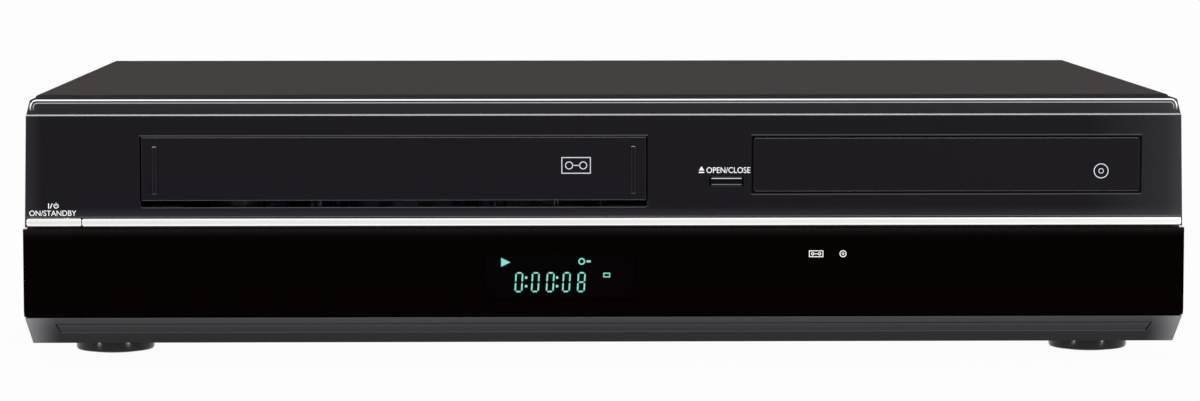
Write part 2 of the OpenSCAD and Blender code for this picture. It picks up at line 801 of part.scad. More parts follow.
// a round socket: its block on the board, a collar in the panel's hole and a sleeve with an open bore
module socket_on_y(x, z, y_block, y_board, y_collar, y_tip, r, half) {
    back = y_tip < y_board ? 1 : -1;
    bore_y = y_tip + back * 6;
    difference() {
        union() {
            block(x - half, x + half, min(y_block, y_board), max(y_block, y_board), z - half, z + half);
            rod_along_y(min(y_collar, y_block), max(y_collar, y_block), x, z, r + collar_t);
            rod_along_y(min(y_tip, y_block), max(y_tip, y_block), x, z, r);
        }
        rod_along_y(min(y_tip - 0.1 * back, bore_y), max(y_tip - 0.1 * back, bore_y), x, z, r - 1.2);
    }
}

module front_jacks() {
    y_tip = control_y - 1.3;
    y_block = control_in + 0.4;
    y_collar = control_y - 0.3;
    color([0.75, 0.7, 0.45]) {
        for (x = front_socket_xs) socket_on_y(x, key_z, y_block, board_y, y_collar, y_tip, socket_r, 6);
        socket_on_y(round_socket_x, key_z, y_block, board_y, y_collar, y_tip, aerial_r, 6.5);
    }
}

module cassette_door() {
    x0 = deck_x - flap_w / 2;
    x1 = deck_x + flap_w / 2;
    color([0.11, 0.1, 0.12]) {
        block(x0, x1, flap_y, flap_y + flap_t, flap_z, flap_z + flap_h);
        for (x = [x0 + 4, x1 - 5.5])
            block(x, x + 1.5, flap_y - 0.5, flap_y + 0.5, flap_z + 2.5, flap_z + flap_h - 3.5);
        for (x = [x0, x1 - flap_arm_w]) difference() {
            union() {
                rod_along_x(x, x + flap_arm_w, flap_axis_y, flap_axis_z, flap_arm_r);
                block(x, x + flap_arm_w, flap_axis_y - flap_arm_r, flap_axis_y + 1.2,
                    flap_z + flap_h - 5, flap_axis_z);
                block(x, x + flap_arm_w, flap_y + flap_t - 0.5, flap_axis_y + 1.2,
                    flap_z + flap_h - 5, flap_z + flap_h - 0.5);
            }
            rod_along_x(x - 1, x + flap_arm_w + 1, flap_axis_y, flap_axis_z, flap_pin_r + run);
        }
    }
}

module cassette_door_shaft() {
    x0 = deck_x - flap_w / 2 - 0.4 - ear_w;
    x1 = deck_x + flap_w / 2 + 0.4 + ear_w;
    color([0.8, 0.8, 0.8]) rod_along_x(x0 - 0.3, x1 + 0.3, flap_axis_y, flap_axis_z, flap_pin_r);
}

module cassette_door_spring() {
    turns = 5;
    x0 = deck_x + flap_w / 2 - flap_arm_w - 6;
    wire = 0.35;
    leg_y = flap_axis_y + flap_pin_r + 0.5;
    color([0.7, 0.7, 0.7]) {
        for (i = [0 : turns - 1])
            translate([x0 + i * 0.75, flap_axis_y, flap_axis_z]) rotate([0, 90, 0])
                rotate_extrude() translate([flap_pin_r + 0.5, 0]) circle(wire, $fn = 16);
        rod_along_x(x0 - wire, x0 + turns * 0.75 - wire, leg_y, flap_axis_z, wire);
        post(x0, leg_y, flap_axis_z, band_z + 3, wire);
    }
}

// the slanted slot that a guide pin of the basket runs in
module guide_slot_profile(y) {
    r = guide_r + 0.2;
    translate([y, guide_z]) {
        circle(r);
        rotate(basket_angle) translate([0, -r + 0.04]) square([basket_run, 2 * r - 0.08]);
        translate([basket_back, -basket_down]) circle(r);
    }
}

module carriage_side_plates() {
    y0 = deck_y0 + 2;
    y1 = guide_ys[1] + basket_back + 12;
    z1 = basket_top + 2;
    color([0.7, 0.71, 0.72]) for (s = [-1, 1])
        translate([s > 0 ? deck_x + plate_x : deck_x - plate_x - plate_t, 0, 0])
            along_x(0, plate_t) difference() {
                union() {
                    translate([y0, deck_top]) square([y1 - y0, z1 - deck_top]);
                    translate([basket_y0 + 2, slot_z - 3]) square([y0 - basket_y0, z1 - slot_z + 3]);
                }
                for (y = guide_ys) guide_slot_profile(y);
                translate([y0 + 12, deck_top + 5]) square([24, 8]);
                translate([y1 - 36, z1 - 14]) square([26, 8]);
            }
}

module cassette_basket() {
    rear_t = 1.2;
    color([0.16, 0.16, 0.17]) {
        for (s = [-1, 1]) {
            xi = deck_x + s * basket_x;
            xo = deck_x + s * basket_out_x;
            xl = deck_x + s * (basket_out_x - ledge_w);
            block(min(xi, xo), max(xi, xo), basket_y0, basket_y1, basket_z, basket_top);
            block(min(xl, xo), max(xl, xo), basket_y0, basket_y1, basket_z, basket_z + 1.2);
            xe = xo + s * guide_l;
            for (y = guide_ys) rod_along_x(min(xi, xe), max(xi, xe), y, guide_z, guide_r);
        }
        block(deck_x - basket_out_x, deck_x + basket_out_x, basket_y1 - rear_t, basket_y1,
            basket_z, basket_z + 16);
    }
}

module deck_plate() {
    flange = 3;
    color([0.72, 0.73, 0.74]) {
        difference() {
            block(deck_x - deck_w / 2, deck_x + deck_w / 2, deck_y0, deck_y1, deck_z, deck_top);
            post(deck_x, drum_y, 0, body_h, drum_r - 4);
            post(capstan_x, capstan_y, 0, body_h, capstan_r + 1);
            for (x = [-60, -20, 20])
                block(deck_x + x, deck_x + x + 22, deck_y0 + 10, deck_y0 + 26, 0, body_h);
        }
        for (s = [-1, 1]) post(deck_x + s * reel_pitch / 2, reel_y, deck_z, deck_top + 12, reel_pin_r);
        post(arm_x, arm_y, deck_z, deck_top + 19, arm_pin_r);
        post(cam_x, cam_y, deck_z, deck_top + 6, reel_pin_r);
        difference() {
            post(capstan_x, capstan_y, deck_z - 4, deck_top + 6, 5);
            post(capstan_x, capstan_y, 0, body_h, capstan_r + run);
        }
        both_sides_of_deck() block(deck_x + deck_w / 2 - 1, deck_x + deck_w / 2, deck_y1 - 60, deck_y1,
            deck_z, deck_top + flange);
    }
}

module both_sides_of_deck() {
    children();
    translate([2 * deck_x, 0, 0]) mirror([1, 0, 0]) children();
}

module reel(s) {
    color([0.9, 0.9, 0.88]) translate([deck_x + s * reel_pitch / 2, reel_y, deck_top + 0.4]) difference() {
        union() {
            cylinder(h = 2, r = reel_r);
            cylinder(h = 4.5, r = reel_r - 7);
            cylinder(h = 11, r = 4);
            translate([0, 0, 11]) cylinder(h = 2, r1 = 4, r2 = 2.6);
            for (a = [0, 120, 240]) rotate(a) translate([0, -0.9, 4]) cube([5.2, 1.8, 7]);
        }
        translate([0, 0, -1]) cylinder(h = 13, r = reel_pin_r + run);
    }
}

module supply_reel() { reel(-1); }
module take_up_reel() { reel(1); }

module at_drum() {
    translate([deck_x, drum_y, deck_top]) rotate([drum_tilt, 0, 0]) children();
}

module drum_base() {
    color([0.72, 0.73, 0.75]) {
        at_drum() {
            difference() {
                translate([0, 0, 3.2]) cylinder(h = drum_split - 3.4, r = drum_r);
                translate([0, 0, -10]) cylinder(h = 40, r = drum_shaft_r + run);
            }
        }
        intersection() {
            at_drum() translate([0, 0, -6]) difference() {
                cylinder(h = 10, r = drum_r - 5);
                translate([0, 0, -1]) cylinder(h = 40, r = drum_shaft_r + run);
            }
            block(deck_x - drum_r, deck_x + drum_r, drum_y - drum_r, drum_y + drum_r, deck_z, body_h);
        }
        for (x = [-1, 1]) block(deck_x + x * (drum_r - 3) - 5, deck_x + x * (drum_r - 3) + 5,
            drum_y - 6, drum_y + 6, deck_top, deck_top + 5);
    }
}

module head_drum() {
    slot = 0.6;
    color([0.82, 0.83, 0.85]) at_drum() {
        translate([0, 0, 0.5]) cylinder(h = drum_split + drum_upper - 1, r = drum_shaft_r);
        difference() {
            translate([0, 0, drum_split]) cylinder(h = drum_upper, r = drum_r);
            for (a = [0, 180]) rotate(a) translate([drum_r - 3, -1.5, drum_split - eps])
                cube([5, 3, 2]);
            translate([0, 0, drum_split + drum_upper - slot]) difference() {
                cylinder(h = 2, r = drum_r - 5);
                translate([0, 0, -1]) cylinder(h = 4, r = drum_r - 12);
            }
        }
    }
}

module capstan() {
    color([0.8, 0.8, 0.82]) {
        post(capstan_x, capstan_y, deck_z - 9, capstan_top, capstan_r);
        post(capstan_x, capstan_y, deck_z - 8, deck_z - 4.4, flywheel_r);
    }
}

module at_arm() {
    translate([arm_x, arm_y, deck_top]) rotate(arm_rest) children();
}

module pinch_arm() {
    z = 14;
    color([0.6, 0.6, 0.6]) at_arm() difference() {
        union() {
            translate([0, 0, 0.3]) cylinder(h = z + 4, r = 3.4);
            translate([0, -2, z]) cube([arm_l, 4, 2]);
            translate([arm_l, 0, z]) cylinder(h = 2, r = 3);
            translate([arm_l, 0, z]) cylinder(h = 12.4, r = 1.2);
        }
        translate([0, 0, -1]) cylinder(h = 40, r = arm_pin_r + run);
    }
}

module pinch_roller() {
    color([0.08, 0.08, 0.08]) at_arm() translate([arm_l, 0, 16.3]) difference() {
        cylinder(h = 9.6, r = roller_r);
        translate([0, 0, -1]) cylinder(h = 12, r = 1.2 + run);
    }
}

module cam_gear() {
    teeth = 28;
    color([0.9, 0.9, 0.86]) translate([cam_x, cam_y, deck_top + 0.4]) difference() {
        union() {
            cylinder(h = 3, r = cam_r - 1);
            for (i = [0 : teeth - 1])
                rotate(i * 360 / teeth) translate([cam_r - 2, -0.7, 0]) cube([2, 1.4, 3]);
            cylinder(h = 4.6, r = 4);
        }
        translate([0, 0, -1]) cylinder(h = 12, r = reel_pin_r + run);
        translate([cam_r - 7, 0, -1]) cylinder(h = 6, r = 2);
    }
}

module tape_guides() {
    color([0.8, 0.8, 0.8]) for (s = [-1, 1], g = [[36, -30, 28], [40, 6, 30]]) {
        x = deck_x + s * g[0];
        y = drum_y + g[1] + (g[1] < 0 ? 12 : 0);
        post(x, y, deck_top, deck_top + g[2], 1.5);
        post(x, y, deck_top, deck_top + 6, 3.5);
        post(x, y, deck_top + g[2] - 2, deck_top + g[2], 3);
    }
    color([0.7, 0.7, 0.72]) for (x = [-58, 47])
        block(deck_x + x, deck_x + x + 9, drum_y - 14, drum_y - 4, deck_top, deck_top + 24);
}

module loading_motor() {
    color([0.7, 0.7, 0.7]) {
        post(motor_x, motor_y, deck_top, pulley_z - 2, 11);
        post(motor_x, motor_y, pulley_z - 2, pulley_z + 5, 1);
        post(motor_x, motor_y, pulley_z, pulley_z + 4, motor_pulley_r);
        post(motor_x + pulley_span, motor_y, deck_top, pulley_z + 1, 2);
        post(motor_x + pulley_span, motor_y, pulley_z, pulley_z + 4, worm_pulley_r);
    }
}

module drive_belt() {
    module loop(grow) {
        hull() {
            circle(motor_pulley_r + grow);
            translate([pulley_span, 0]) circle(worm_pulley_r + grow);
        }
    }
    color([0.06, 0.06, 0.06]) translate([motor_x, motor_y, pulley_z + 1.2]) linear_extrude(1.6)
        difference() {
            loop(1.1);
            loop(0.05);
        }
}

module drive_frame() {
    half = drive_w / 2;
    out = half + drive_wall;
    color([0.2, 0.2, 0.21]) {
        difference() {
            block(drive_x - out, drive_x + out, drive_y0, drive_y1, drive_z, drive_top);
            block(drive_x - half, drive_x + half, drive_y0 - 1, drive_y1 - drive_wall,
                drive_z + drive_floor, drive_top + 1);
            block(drive_x - 16, drive_x + 24, rod_y0 + 6, rod_y0 + 46, 0, drive_z + drive_floor + 1);
            for (x = [-46, 24])
                block(drive_x + x, drive_x + x + 22, drive_y0 + 24, drive_y0 + 42,
                    0, drive_z + drive_floor + 1);
        }
        for (s = [-1, 1]) {
            xi = drive_x + s * (half - rail_w + 0.6);
            xo = drive_x + s * (half + drive_wall / 2);
            for (z = [tray_z - gap - 1.5, tray_z + tray_t + gap])
                block(min(xi, xo), max(xi, xo), drive_y0, drive_y0 + tray_l - 4, z, z + 1.5);
        }
        post(pinion_x, pinion_y, drive_z, gear_z + gear_t - 1, 1.5);
        for (y = [rod_y0, rod_y1 - 4], x = [-rod_x, rod_x]) difference() {
            block(drive_x + x - 3, drive_x + x + 3, y, y + 4, drive_z + 0.5, rod_z + 3);
            rod_along_y(y - 1, y + 5, drive_x + x, rod_z, rod_r);
        }
        for (y = [rod_y0, rod_y1 - 4]) difference() {
            block(drive_x + screw_x - 3, drive_x + screw_x + 3, y, y + 4, drive_z + 0.5, rod_z + 3);
            rod_along_y(y - 1, y + 5, drive_x + screw_x, rod_z, rod_r + run);
        }
    }
}

module rack_profile() {
    p = PI * gear_m;
    tip = p / 4 - backlash / 4 - addendum * tan(pressure);
    root = p / 4 - backlash / 4 + dedendum * tan(pressure);
    for (i = [0 : rack_teeth - 1])
        translate([0, (i - 2) * p])
            polygon([
                [-dedendum - 0.1, -root], [addendum, -tip], [addendum, tip], [-dedendum - 0.1, root]
            ]);
}

module disc_tray() {
    half = tray_w / 2;
    z1 = tray_z + tray_t;
    color([0.1, 0.1, 0.11]) {
        difference() {
            block(drive_x - half, drive_x + half, tray_y0, tray_y0 + tray_l, tray_z, z1);
            post(drive_x, spindle_y, z1 - 1.4, z1 + 1, disc_d / 2);
            post(drive_x, spindle_y, z1 - 2, z1 + 1, 41);
            post(drive_x, spindle_y, 0, z1 + 1, turntable_r + 3);
            block(drive_x - turntable_r - 3, drive_x + turntable_r + 3, spindle_y, spindle_y + 56, 0, z1 + 1);
        }
        block(rack_x, rack_x + rack_w - dedendum, tray_y0 + 6, tray_y0 + tray_l, gear_z, tray_z + eps);
        intersection() {
            translate([rack_x + rack_w, pinion_y, gear_z]) linear_extrude(tray_z - gear_z + eps)
                rack_profile();
            block(rack_x, rack_x + 10, tray_y0 + 6, tray_y0 + tray_l, 0, body_h);
        }
    }
}

module tray_front() {
    color([0.12, 0.11, 0.13]) {
        along_y(tray_front_y, tray_front_y + tray_front_t)
            rounded(drive_x, tray_front_z, tray_front_w, tray_front_h, 1);
        for (s = [-1, 1])
            block(drive_x + s * 50 - 6, drive_x + s * 50 + 6, tray_front_y + tray_front_t - 1,
                tray_y0, tray_z, tray_z + tray_t);
        along_y(tray_front_y + tray_front_t - 0.5, tray_y0)
            rounded(drive_x, tray_front_z, tray_w - 4, tray_front_h - 8, 1);
    }
}

// half the angle that a tooth of the pinion spans at radius r
function roll(r) = let (c = min(1, pinion_r * cos(pressure) / r)) tan(acos(c)) * 180 / PI - acos(c);
function tooth_half(r) = 90 / pinion_teeth - backlash * 45 / (PI * pinion_r) + roll(pinion_r) - roll(r);

module pinion_profile() {
    lo = pinion_r - dedendum;
    hi = pinion_r + addendum;
    steps = 4;
    radii = [for (i = [0 : steps]) lo + (hi - lo) * i / steps];
    circle(lo + 0.05);
    for (i = [0 : pinion_teeth - 1]) rotate(180 + (i + 0.5) * 360 / pinion_teeth)
        polygon(concat(
            [[0, 0]],
            [for (r = radii) [r * cos(tooth_half(r)), r * sin(tooth_half(r))]],
            [for (j = [0 : steps]) let (r = radii[steps - j])
                [r * cos(tooth_half(r)), -r * sin(tooth_half(r))]]
        ));
}

module tray_pinion() {
    color([0.9, 0.9, 0.88]) translate([pinion_x, pinion_y, gear_z + 0.3]) difference() {
        union() {
            linear_extrude(gear_t - 1.2) pinion_profile();
            translate([0, 0, -2]) cylinder(h = 2.2, r = pinion_r - dedendum - 0.6);
        }
        translate([0, 0, -3]) cylinder(h = 20, r = 1.5 + run);
    }
}

module clamp_bridge() {
    out = drive_w / 2 + drive_wall;
    color([0.7, 0.71, 0.72]) difference() {
        block(drive_x - out, drive_x + out, spindle_y - 17, spindle_y + 17, bridge_z, bridge_z + bridge_t);
        post(drive_x, spindle_y, 0, body_h, puck_neck_r + 0.4);
    }
}

module clamp_puck() {
    color([0.15, 0.15, 0.15]) {
        post(drive_x, spindle_y, bridge_z - 7, bridge_z - 2, puck_r);
        post(drive_x, spindle_y, bridge_z - 3, bridge_z + bridge_t + 1, puck_neck_r);
        post(drive_x, spindle_y, bridge_z + bridge_t + 0.05, bridge_z + bridge_t + 1.2, puck_neck_r + 3);
    }
}

module turntable() {
    z0 = drive_z + drive_floor + 4.4;
    color([0.12, 0.12, 0.12]) difference() {
        union() {
            post(drive_x, spindle_y, z0, turntable_z - 1.2, turntable_r);
            translate([drive_x, spindle_y, turntable_z - 1.3]) cylinder(h = 1.3, r1 = 7.4, r2 = 6);
        }
        post(drive_x, spindle_y, 0, turntable_z - 1.8, 1.5 + run);
    }
}

module drive_motors() {
    f = drive_z + drive_floor;
    color([0.75, 0.76, 0.78]) {
        post(drive_x, spindle_y, f, f + 4, 12);
        post(drive_x, spindle_y, f, turntable_z - 2.2, 1.5);
        block(drive_x - 8, drive_x + 8, rod_y1 + 3, rod_y1 + 18, f, f + 9);
        post(pinion_x + 26, pinion_y + 3, f, f + 6, 9);
    }
}

module guide_rods() {
    color([0.8, 0.8, 0.82]) for (x = [-rod_x, rod_x])
        rod_along_y(rod_y0, rod_y1, drive_x + x, rod_z, rod_r);
}

module optical_pickup() {
    half = rod_x + 4;
    color([0.25, 0.25, 0.27]) difference() {
        union() {
            block(drive_x - half, drive_x + half, pickup_y, pickup_y + pickup_l, rod_z - 3, rod_z + 2.6);
            post(drive_x, pickup_y + 6, rod_z, rod_z + 4, 4);
            block(drive_x + half - 1, drive_x + screw_x + 3, pickup_y + 10, pickup_y + 20,
                rod_z - 3, rod_z + 2.6);
        }
        for (x = [-rod_x, rod_x]) rod_along_y(0 - body_d, body_d, drive_x + x, rod_z, rod_r + run);
        rod_along_y(-body_d, body_d, drive_x + screw_x, rod_z, rod_r + run);
        post(drive_x, pickup_y + 6, rod_z + 3, rod_z + 5, 2.4);
    }
}

module lead_screw() {
    y1 = rod_y1 + 2;
    color([0.8, 0.8, 0.82]) {
        rod_along_y(rod_y0, y1, drive_x + screw_x, rod_z, rod_r);
        rod_along_y(rod_y1 + 0.4, y1, drive_x + screw_x, rod_z, 3.4);
    }
}

module main_board() {
    color([0.12, 0.34, 0.18]) difference() {
        block(main_x0, main_x1, main_y0, main_y1, pcb_z, pcb_top);
        for (p = drive_posts) post(p[0], p[1], 0, body_h, post_r + 1);
    }
}

module main_chips() {
    z = pcb_top;
    u = (main_x1 - main_x0) / 44;
    // column in units of u, distance behind the board's front edge, width, depth, height
    packages = [
        [10, 59.5, 28, 28, 3], [22.5, 63.5, 20, 14, 2.4], [22.5, 85.5, 20, 14, 2.4],
        [15, 191.5, 22, 22, 3], [32.5, 49.5, 16, 24, 2.4], [30, 199.5, 14, 10, 2.4],
        [2.5, 19.5, 8, 50, 9], [37.5, 29.5, 8, 60, 9]
    ];
    color([0.1, 0.1, 0.1])
        for (c = packages) let (x = main_x0 + c[0] * u, y = main_y0 + c[1])
            block(x, x + c[2], y, y + c[3], z, z + c[4]);
    color([0.2, 0.25, 0.5])
        for (i = [0 : 6]) post(main_x0 + (4.5 + 3.5 * i) * u, main_y0 + 233.5, z, z + 11, 4);
}

module power_board() {
    color([0.72, 0.6, 0.35]) block(psu_x0, psu_x1, psu_y0, main_y1, pcb_z, pcb_top);
}

module power_parts() {
    z = pcb_top;
    x = psu_x0;
    y = psu_y0;
    u = psu_u;
    v = psu_v;
    color([0.75, 0.7, 0.2]) block(x + 14 * u, x + 22.5 * u, y + 2.8 * v, y + 8.8 * v, z + 3, z + 30);
    color([0.1, 0.1, 0.1]) {
        block(x + 13 * u, x + 23.5 * u, y + 3.6 * v, y + 8 * v, z, z + 26);
        post(x + 7.5 * u, y + 3.2 * v, z, z + 34, 2.2 * v);
        for (i = [0 : 3]) post(x + 37 * u, y + (1.6 + 2.8 * i) * v, z, z + 20, v);
        block(x + 2.5 * u, x + 8.5 * u, y + 6.8 * v, y + 10.4 * v, z, z + 16);
    }
}

module heat_sink() {
    fins = 7;
    sink_h = 32;
    x = psu_x0 + 27 * psu_u;
    y = psu_y0 + 1.6 * psu_v;
    color([0.82, 0.83, 0.84]) {
        block(x, x + psu_u, y, y + 10 * psu_v, pcb_top, pcb_top + sink_h);
        for (i = [0 : fins - 1]) let (f = y + i * 1.6 * psu_v)
            block(x, x + 4 * psu_u, f, f + 0.4 * psu_v, pcb_top + 4, pcb_top + sink_h);
    }
}

module ac_inlet() {
    y1 = panel_y + 1.5;
    color([0.06, 0.06, 0.06]) difference() {
        union() {
            block(inlet_x - inlet_w / 2, inlet_x + inlet_w / 2, panel_y - 16, y1,
                inlet_z - inlet_h / 2, inlet_z + inlet_h / 2);
            block(inlet_x - 5, inlet_x + 5, panel_y - 16, panel_y - 10, pcb_top, inlet_z);
        }
        for (s = [-1, 1]) rod_along_y(y1 - 11, y1 + 1, inlet_x + s * 4.3, inlet_z, 3.7);
    }
    color([0.85, 0.8, 0.5]) for (s = [-1, 1])
        rod_along_y(y1 - 12, y1 - 2, inlet_x + s * 4.3, inlet_z, 1.15);
}

module rear_jacks() {
    y_tip = rear_y + socket_proud;
    y_in = panel_y - sheet_t - 0.2;
    color([0.8, 0.75, 0.5]) {
        for (x = rear_socket_xs, z = rear_socket_zs)
            socket_on_y(x, z, y_in, y_in - 9, collar_y, y_tip, socket_r, socket_half);
        for (x = rear_socket_xs)
            block(x - socket_half, x + socket_half, y_in - 9, y_in, pcb_top, rear_socket_zs[1]);
        difference() {
            block(slot_x - video_w / 2, slot_x + video_w / 2, panel_y - 12, rear_y + 0.6,
                rear_socket_zs[0] - video_h / 2, rear_socket_zs[0] + video_h / 2);
            block(slot_x - video_w / 2 + 0.7, slot_x + video_w / 2 - 0.7, panel_y - 8, rear_y + 2,
                rear_socket_zs[0] - video_h / 2 + 0.7, rear_socket_zs[0] + video_h / 2 - 0.7);
        }
        block(slot_x - 5, slot_x + 5, panel_y - 12, panel_y - 9, pcb_top, rear_socket_zs[0]);
    }
}

module tuner_box() {
    y_in = panel_y - sheet_t - 0.2;
    color([0.78, 0.79, 0.8]) {
        block(aerial_x - 14, aerial_x + 14, y_in - 34, y_in, pcb_top, aerial_zs[1] + 10);
        for (z = aerial_zs) difference() {
            union() {
                rod_along_y(y_in - 1, rear_y + socket_proud, aerial_x, z, aerial_r);
                rod_along_y(y_in - 1, collar_y, aerial_x, z, aerial_r + collar_t);
            }
            rod_along_y(rear_y, rear_y + socket_proud + 1, aerial_x, z, 1.8);
        }
    }
}

module fan_frame() {
    y1 = panel_y - sheet_t;
    y0 = y1 - fan_t;
    h = fan_w / 2;
    color([0.08, 0.08, 0.08]) {
        difference() {
            block(fan_x - h, fan_x + h, y0, y1, fan_z - h, fan_z + h);
            rod_along_y(y0 - 1, y1 + 1, fan_x, fan_z, h - 1.2);
        }
        difference() {
            union() {
                rod_along_y(y1 - 1.5, y1, fan_x, fan_z, 8);
                for (a = [0, 90]) translate([fan_x, 0, fan_z]) rotate([0, a + 45, 0])
                    block(-h, h, y1 - 1.5, y1, -1, 1);
            }
        }
        rod_along_y(y0 + 2, y1 - 0.5, fan_x, fan_z, fan_shaft_r);
    }
}

module fan_rotor() {
    blades = 7;
    y1 = panel_y - sheet_t - 2;
    y0 = panel_y - sheet_t - fan_t + 0.6;
    color([0.1, 0.1, 0.1]) difference() {
        union() {
            rod_along_y(y0, y1, fan_x, fan_z, 9);
            for (i = [0 : blades - 1])
                translate([fan_x, (y0 + y1) / 2, fan_z]) rotate([0, i * 360 / blades, 0])
                    translate([12.8, 0, 0]) rotate([38, 0, 0])
                        cube([10, 1.1, 8], center = true);
        }
        rod_along_y(y0 + 0.8, y1 + 1, fan_x, fan_z, fan_shaft_r + run);
    }
}

bottom_plate();
chassis_frame();
top_cover();
rear_panel();
front_bezel();
silver_strip();
hinge_cover_strip();
feet();
foot_pads();
cover_screws();
power_button();
eject_button();
front_door();
door_hinge_pins();
record_key();
stop_key();
play_key();
channel_key();
front_board();
display_tube();
front_jacks();
main_board();
main_chips();
power_board();
power_parts();
heat_sink();
ac_inlet();
rear_jacks();
tuner_box();
fan_frame();
fan_rotor();
deck_plate();
carriage_side_plates();
cassette_basket();
cassette_door();
cassette_door_shaft();
cassette_door_spring();
supply_reel();
take_up_reel();
drum_base();
head_drum();
capstan();
pinch_arm();
pinch_roller();
cam_gear();
tape_guides();
loading_motor();
drive_belt();
drive_frame();
disc_tray();
tray_front();
tray_pinion();
clamp_bridge();
clamp_puck();
turntable();
drive_motors();
guide_rods();
optical_pickup();
lead_screw();
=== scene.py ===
import math

import bmesh
import bpy
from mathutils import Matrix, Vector


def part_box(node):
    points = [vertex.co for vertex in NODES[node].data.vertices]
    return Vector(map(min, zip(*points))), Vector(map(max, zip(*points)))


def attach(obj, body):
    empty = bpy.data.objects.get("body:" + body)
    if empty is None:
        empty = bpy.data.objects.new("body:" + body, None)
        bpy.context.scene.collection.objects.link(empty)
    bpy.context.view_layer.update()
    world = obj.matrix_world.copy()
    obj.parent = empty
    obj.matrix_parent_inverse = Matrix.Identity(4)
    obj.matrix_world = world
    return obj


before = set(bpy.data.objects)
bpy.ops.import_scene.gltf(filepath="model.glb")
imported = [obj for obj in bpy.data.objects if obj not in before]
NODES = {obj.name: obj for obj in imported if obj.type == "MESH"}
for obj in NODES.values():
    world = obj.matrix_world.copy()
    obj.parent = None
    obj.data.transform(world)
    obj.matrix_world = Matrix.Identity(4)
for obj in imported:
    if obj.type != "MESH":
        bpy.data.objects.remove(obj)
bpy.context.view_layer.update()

MM = 0.001

# Planes of the front: the face and the flap lie a little behind the door's front
FRONT_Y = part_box("front_door")[0].y
FACE_Y = FRONT_Y + 0.6 * MM
FLAP_Y = FRONT_Y + 0.8 * MM
TRAY_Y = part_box("tray_front")[0].y
TUBE_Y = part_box("display_tube")[0].y


# ---------------------------------------------------------------- camera, light and floor

PHOTO_W = 1200                    # the photograph's width, in pixels
FOCAL_PX = 3915                   # focal length, in the same pixels
CAMERA_AT = Vector((-0.03135, FRONT_Y - 1.460, 0.1792))
LOOK = Vector((78.4, 3897, -314.5))
SENSOR = 36

WORLD_SOFT = 0.72                 # strength of the world's light on the object
FLOOR_SIDE = 14
FLOOR_WHITE = 0.96                # share of plain white in the floor, as it is seen
LAMP_AIM = (0, -0.1, 0.05)
LAMP_SIZE = (0.32, 0.5)
LAMPS = (("key_left", (-2.2, -2.15, 0.34), 38), ("key_right", (1.55, -2.1, 0.34), 30))


def make_camera():
    """The photograph's viewpoint, turned towards the object, without lens shift."""
    data = bpy.data.cameras.new("camera")
    data.sensor_width = SENSOR
    data.lens = FOCAL_PX * SENSOR / PHOTO_W
    data.clip_start = 0.05
    data.clip_end = 50
    cam = bpy.data.objects.new("camera", data)
    cam.location = CAMERA_AT
    cam.rotation_mode = "QUATERNION"
    cam.rotation_quaternion = LOOK.to_track_quat("-Z", "Y")
    bpy.context.collection.objects.link(cam)
    bpy.context.scene.camera = cam


def nodes_of(tree):
    """A short way to add a node and set its values."""

    def add(kind, **values):
        n = tree.nodes.new(kind)
        for key, value in values.items():
            if hasattr(n, key):
                setattr(n, key, value)
            else:
                n.inputs[key].default_value = value
        return n

    return add


def seen_directly(tree):
    """1 on camera, glossy and transmission rays, 0 on the light that falls on the object."""
    add = nodes_of(tree)
    path = add("ShaderNodeLightPath")
    one = add("ShaderNodeMath", operation="MAXIMUM")
    tree.links.new(path.outputs["Is Camera Ray"], one.inputs[0])
    tree.links.new(path.outputs["Is Transmission Ray"], one.inputs[1])
    both = add("ShaderNodeMath", operation="MAXIMUM")
    tree.links.new(one.outputs[0], both.inputs[0])
    tree.links.new(path.outputs["Is Glossy Ray"], both.inputs[1])
    return both.outputs[0]


def make_world():
    """Even white light, and a plain white background."""
    world = bpy.data.worlds.new("studio")
    bpy.context.scene.world = world
    world.use_nodes = True
    tree = world.node_tree
    tree.nodes.clear()
    add = nodes_of(tree)
    soft = add("ShaderNodeBackground", Color=(1, 1, 1, 1), Strength=WORLD_SOFT)
    plain = add("ShaderNodeBackground", Color=(1, 1, 1, 1), Strength=1.0)
    mix = add("ShaderNodeMixShader")
    out = add("ShaderNodeOutputWorld")
    tree.links.new(seen_directly(tree), mix.inputs[0])
    tree.links.new(soft.outputs[0], mix.inputs[1])
    tree.links.new(plain.outputs[0], mix.inputs[2])
    tree.links.new(mix.outputs[0], out.inputs[0])


def make_lamps():
    """Two soft lamps, low at the left and right of the camera."""
    for name, at, watts in LAMPS:
        data = bpy.data.lights.new(name, "AREA")
        data.shape = "RECTANGLE"
        data.size, data.size_y = LAMP_SIZE
        data.energy = watts
        lamp = bpy.data.objects.new(name, data)
        lamp.location = at
        lamp.rotation_mode = "QUATERNION"
        lamp.rotation_quaternion = (Vector(LAMP_AIM) - Vector(at)).to_track_quat("-Z", "Y")
        bpy.context.collection.objects.link(lamp)


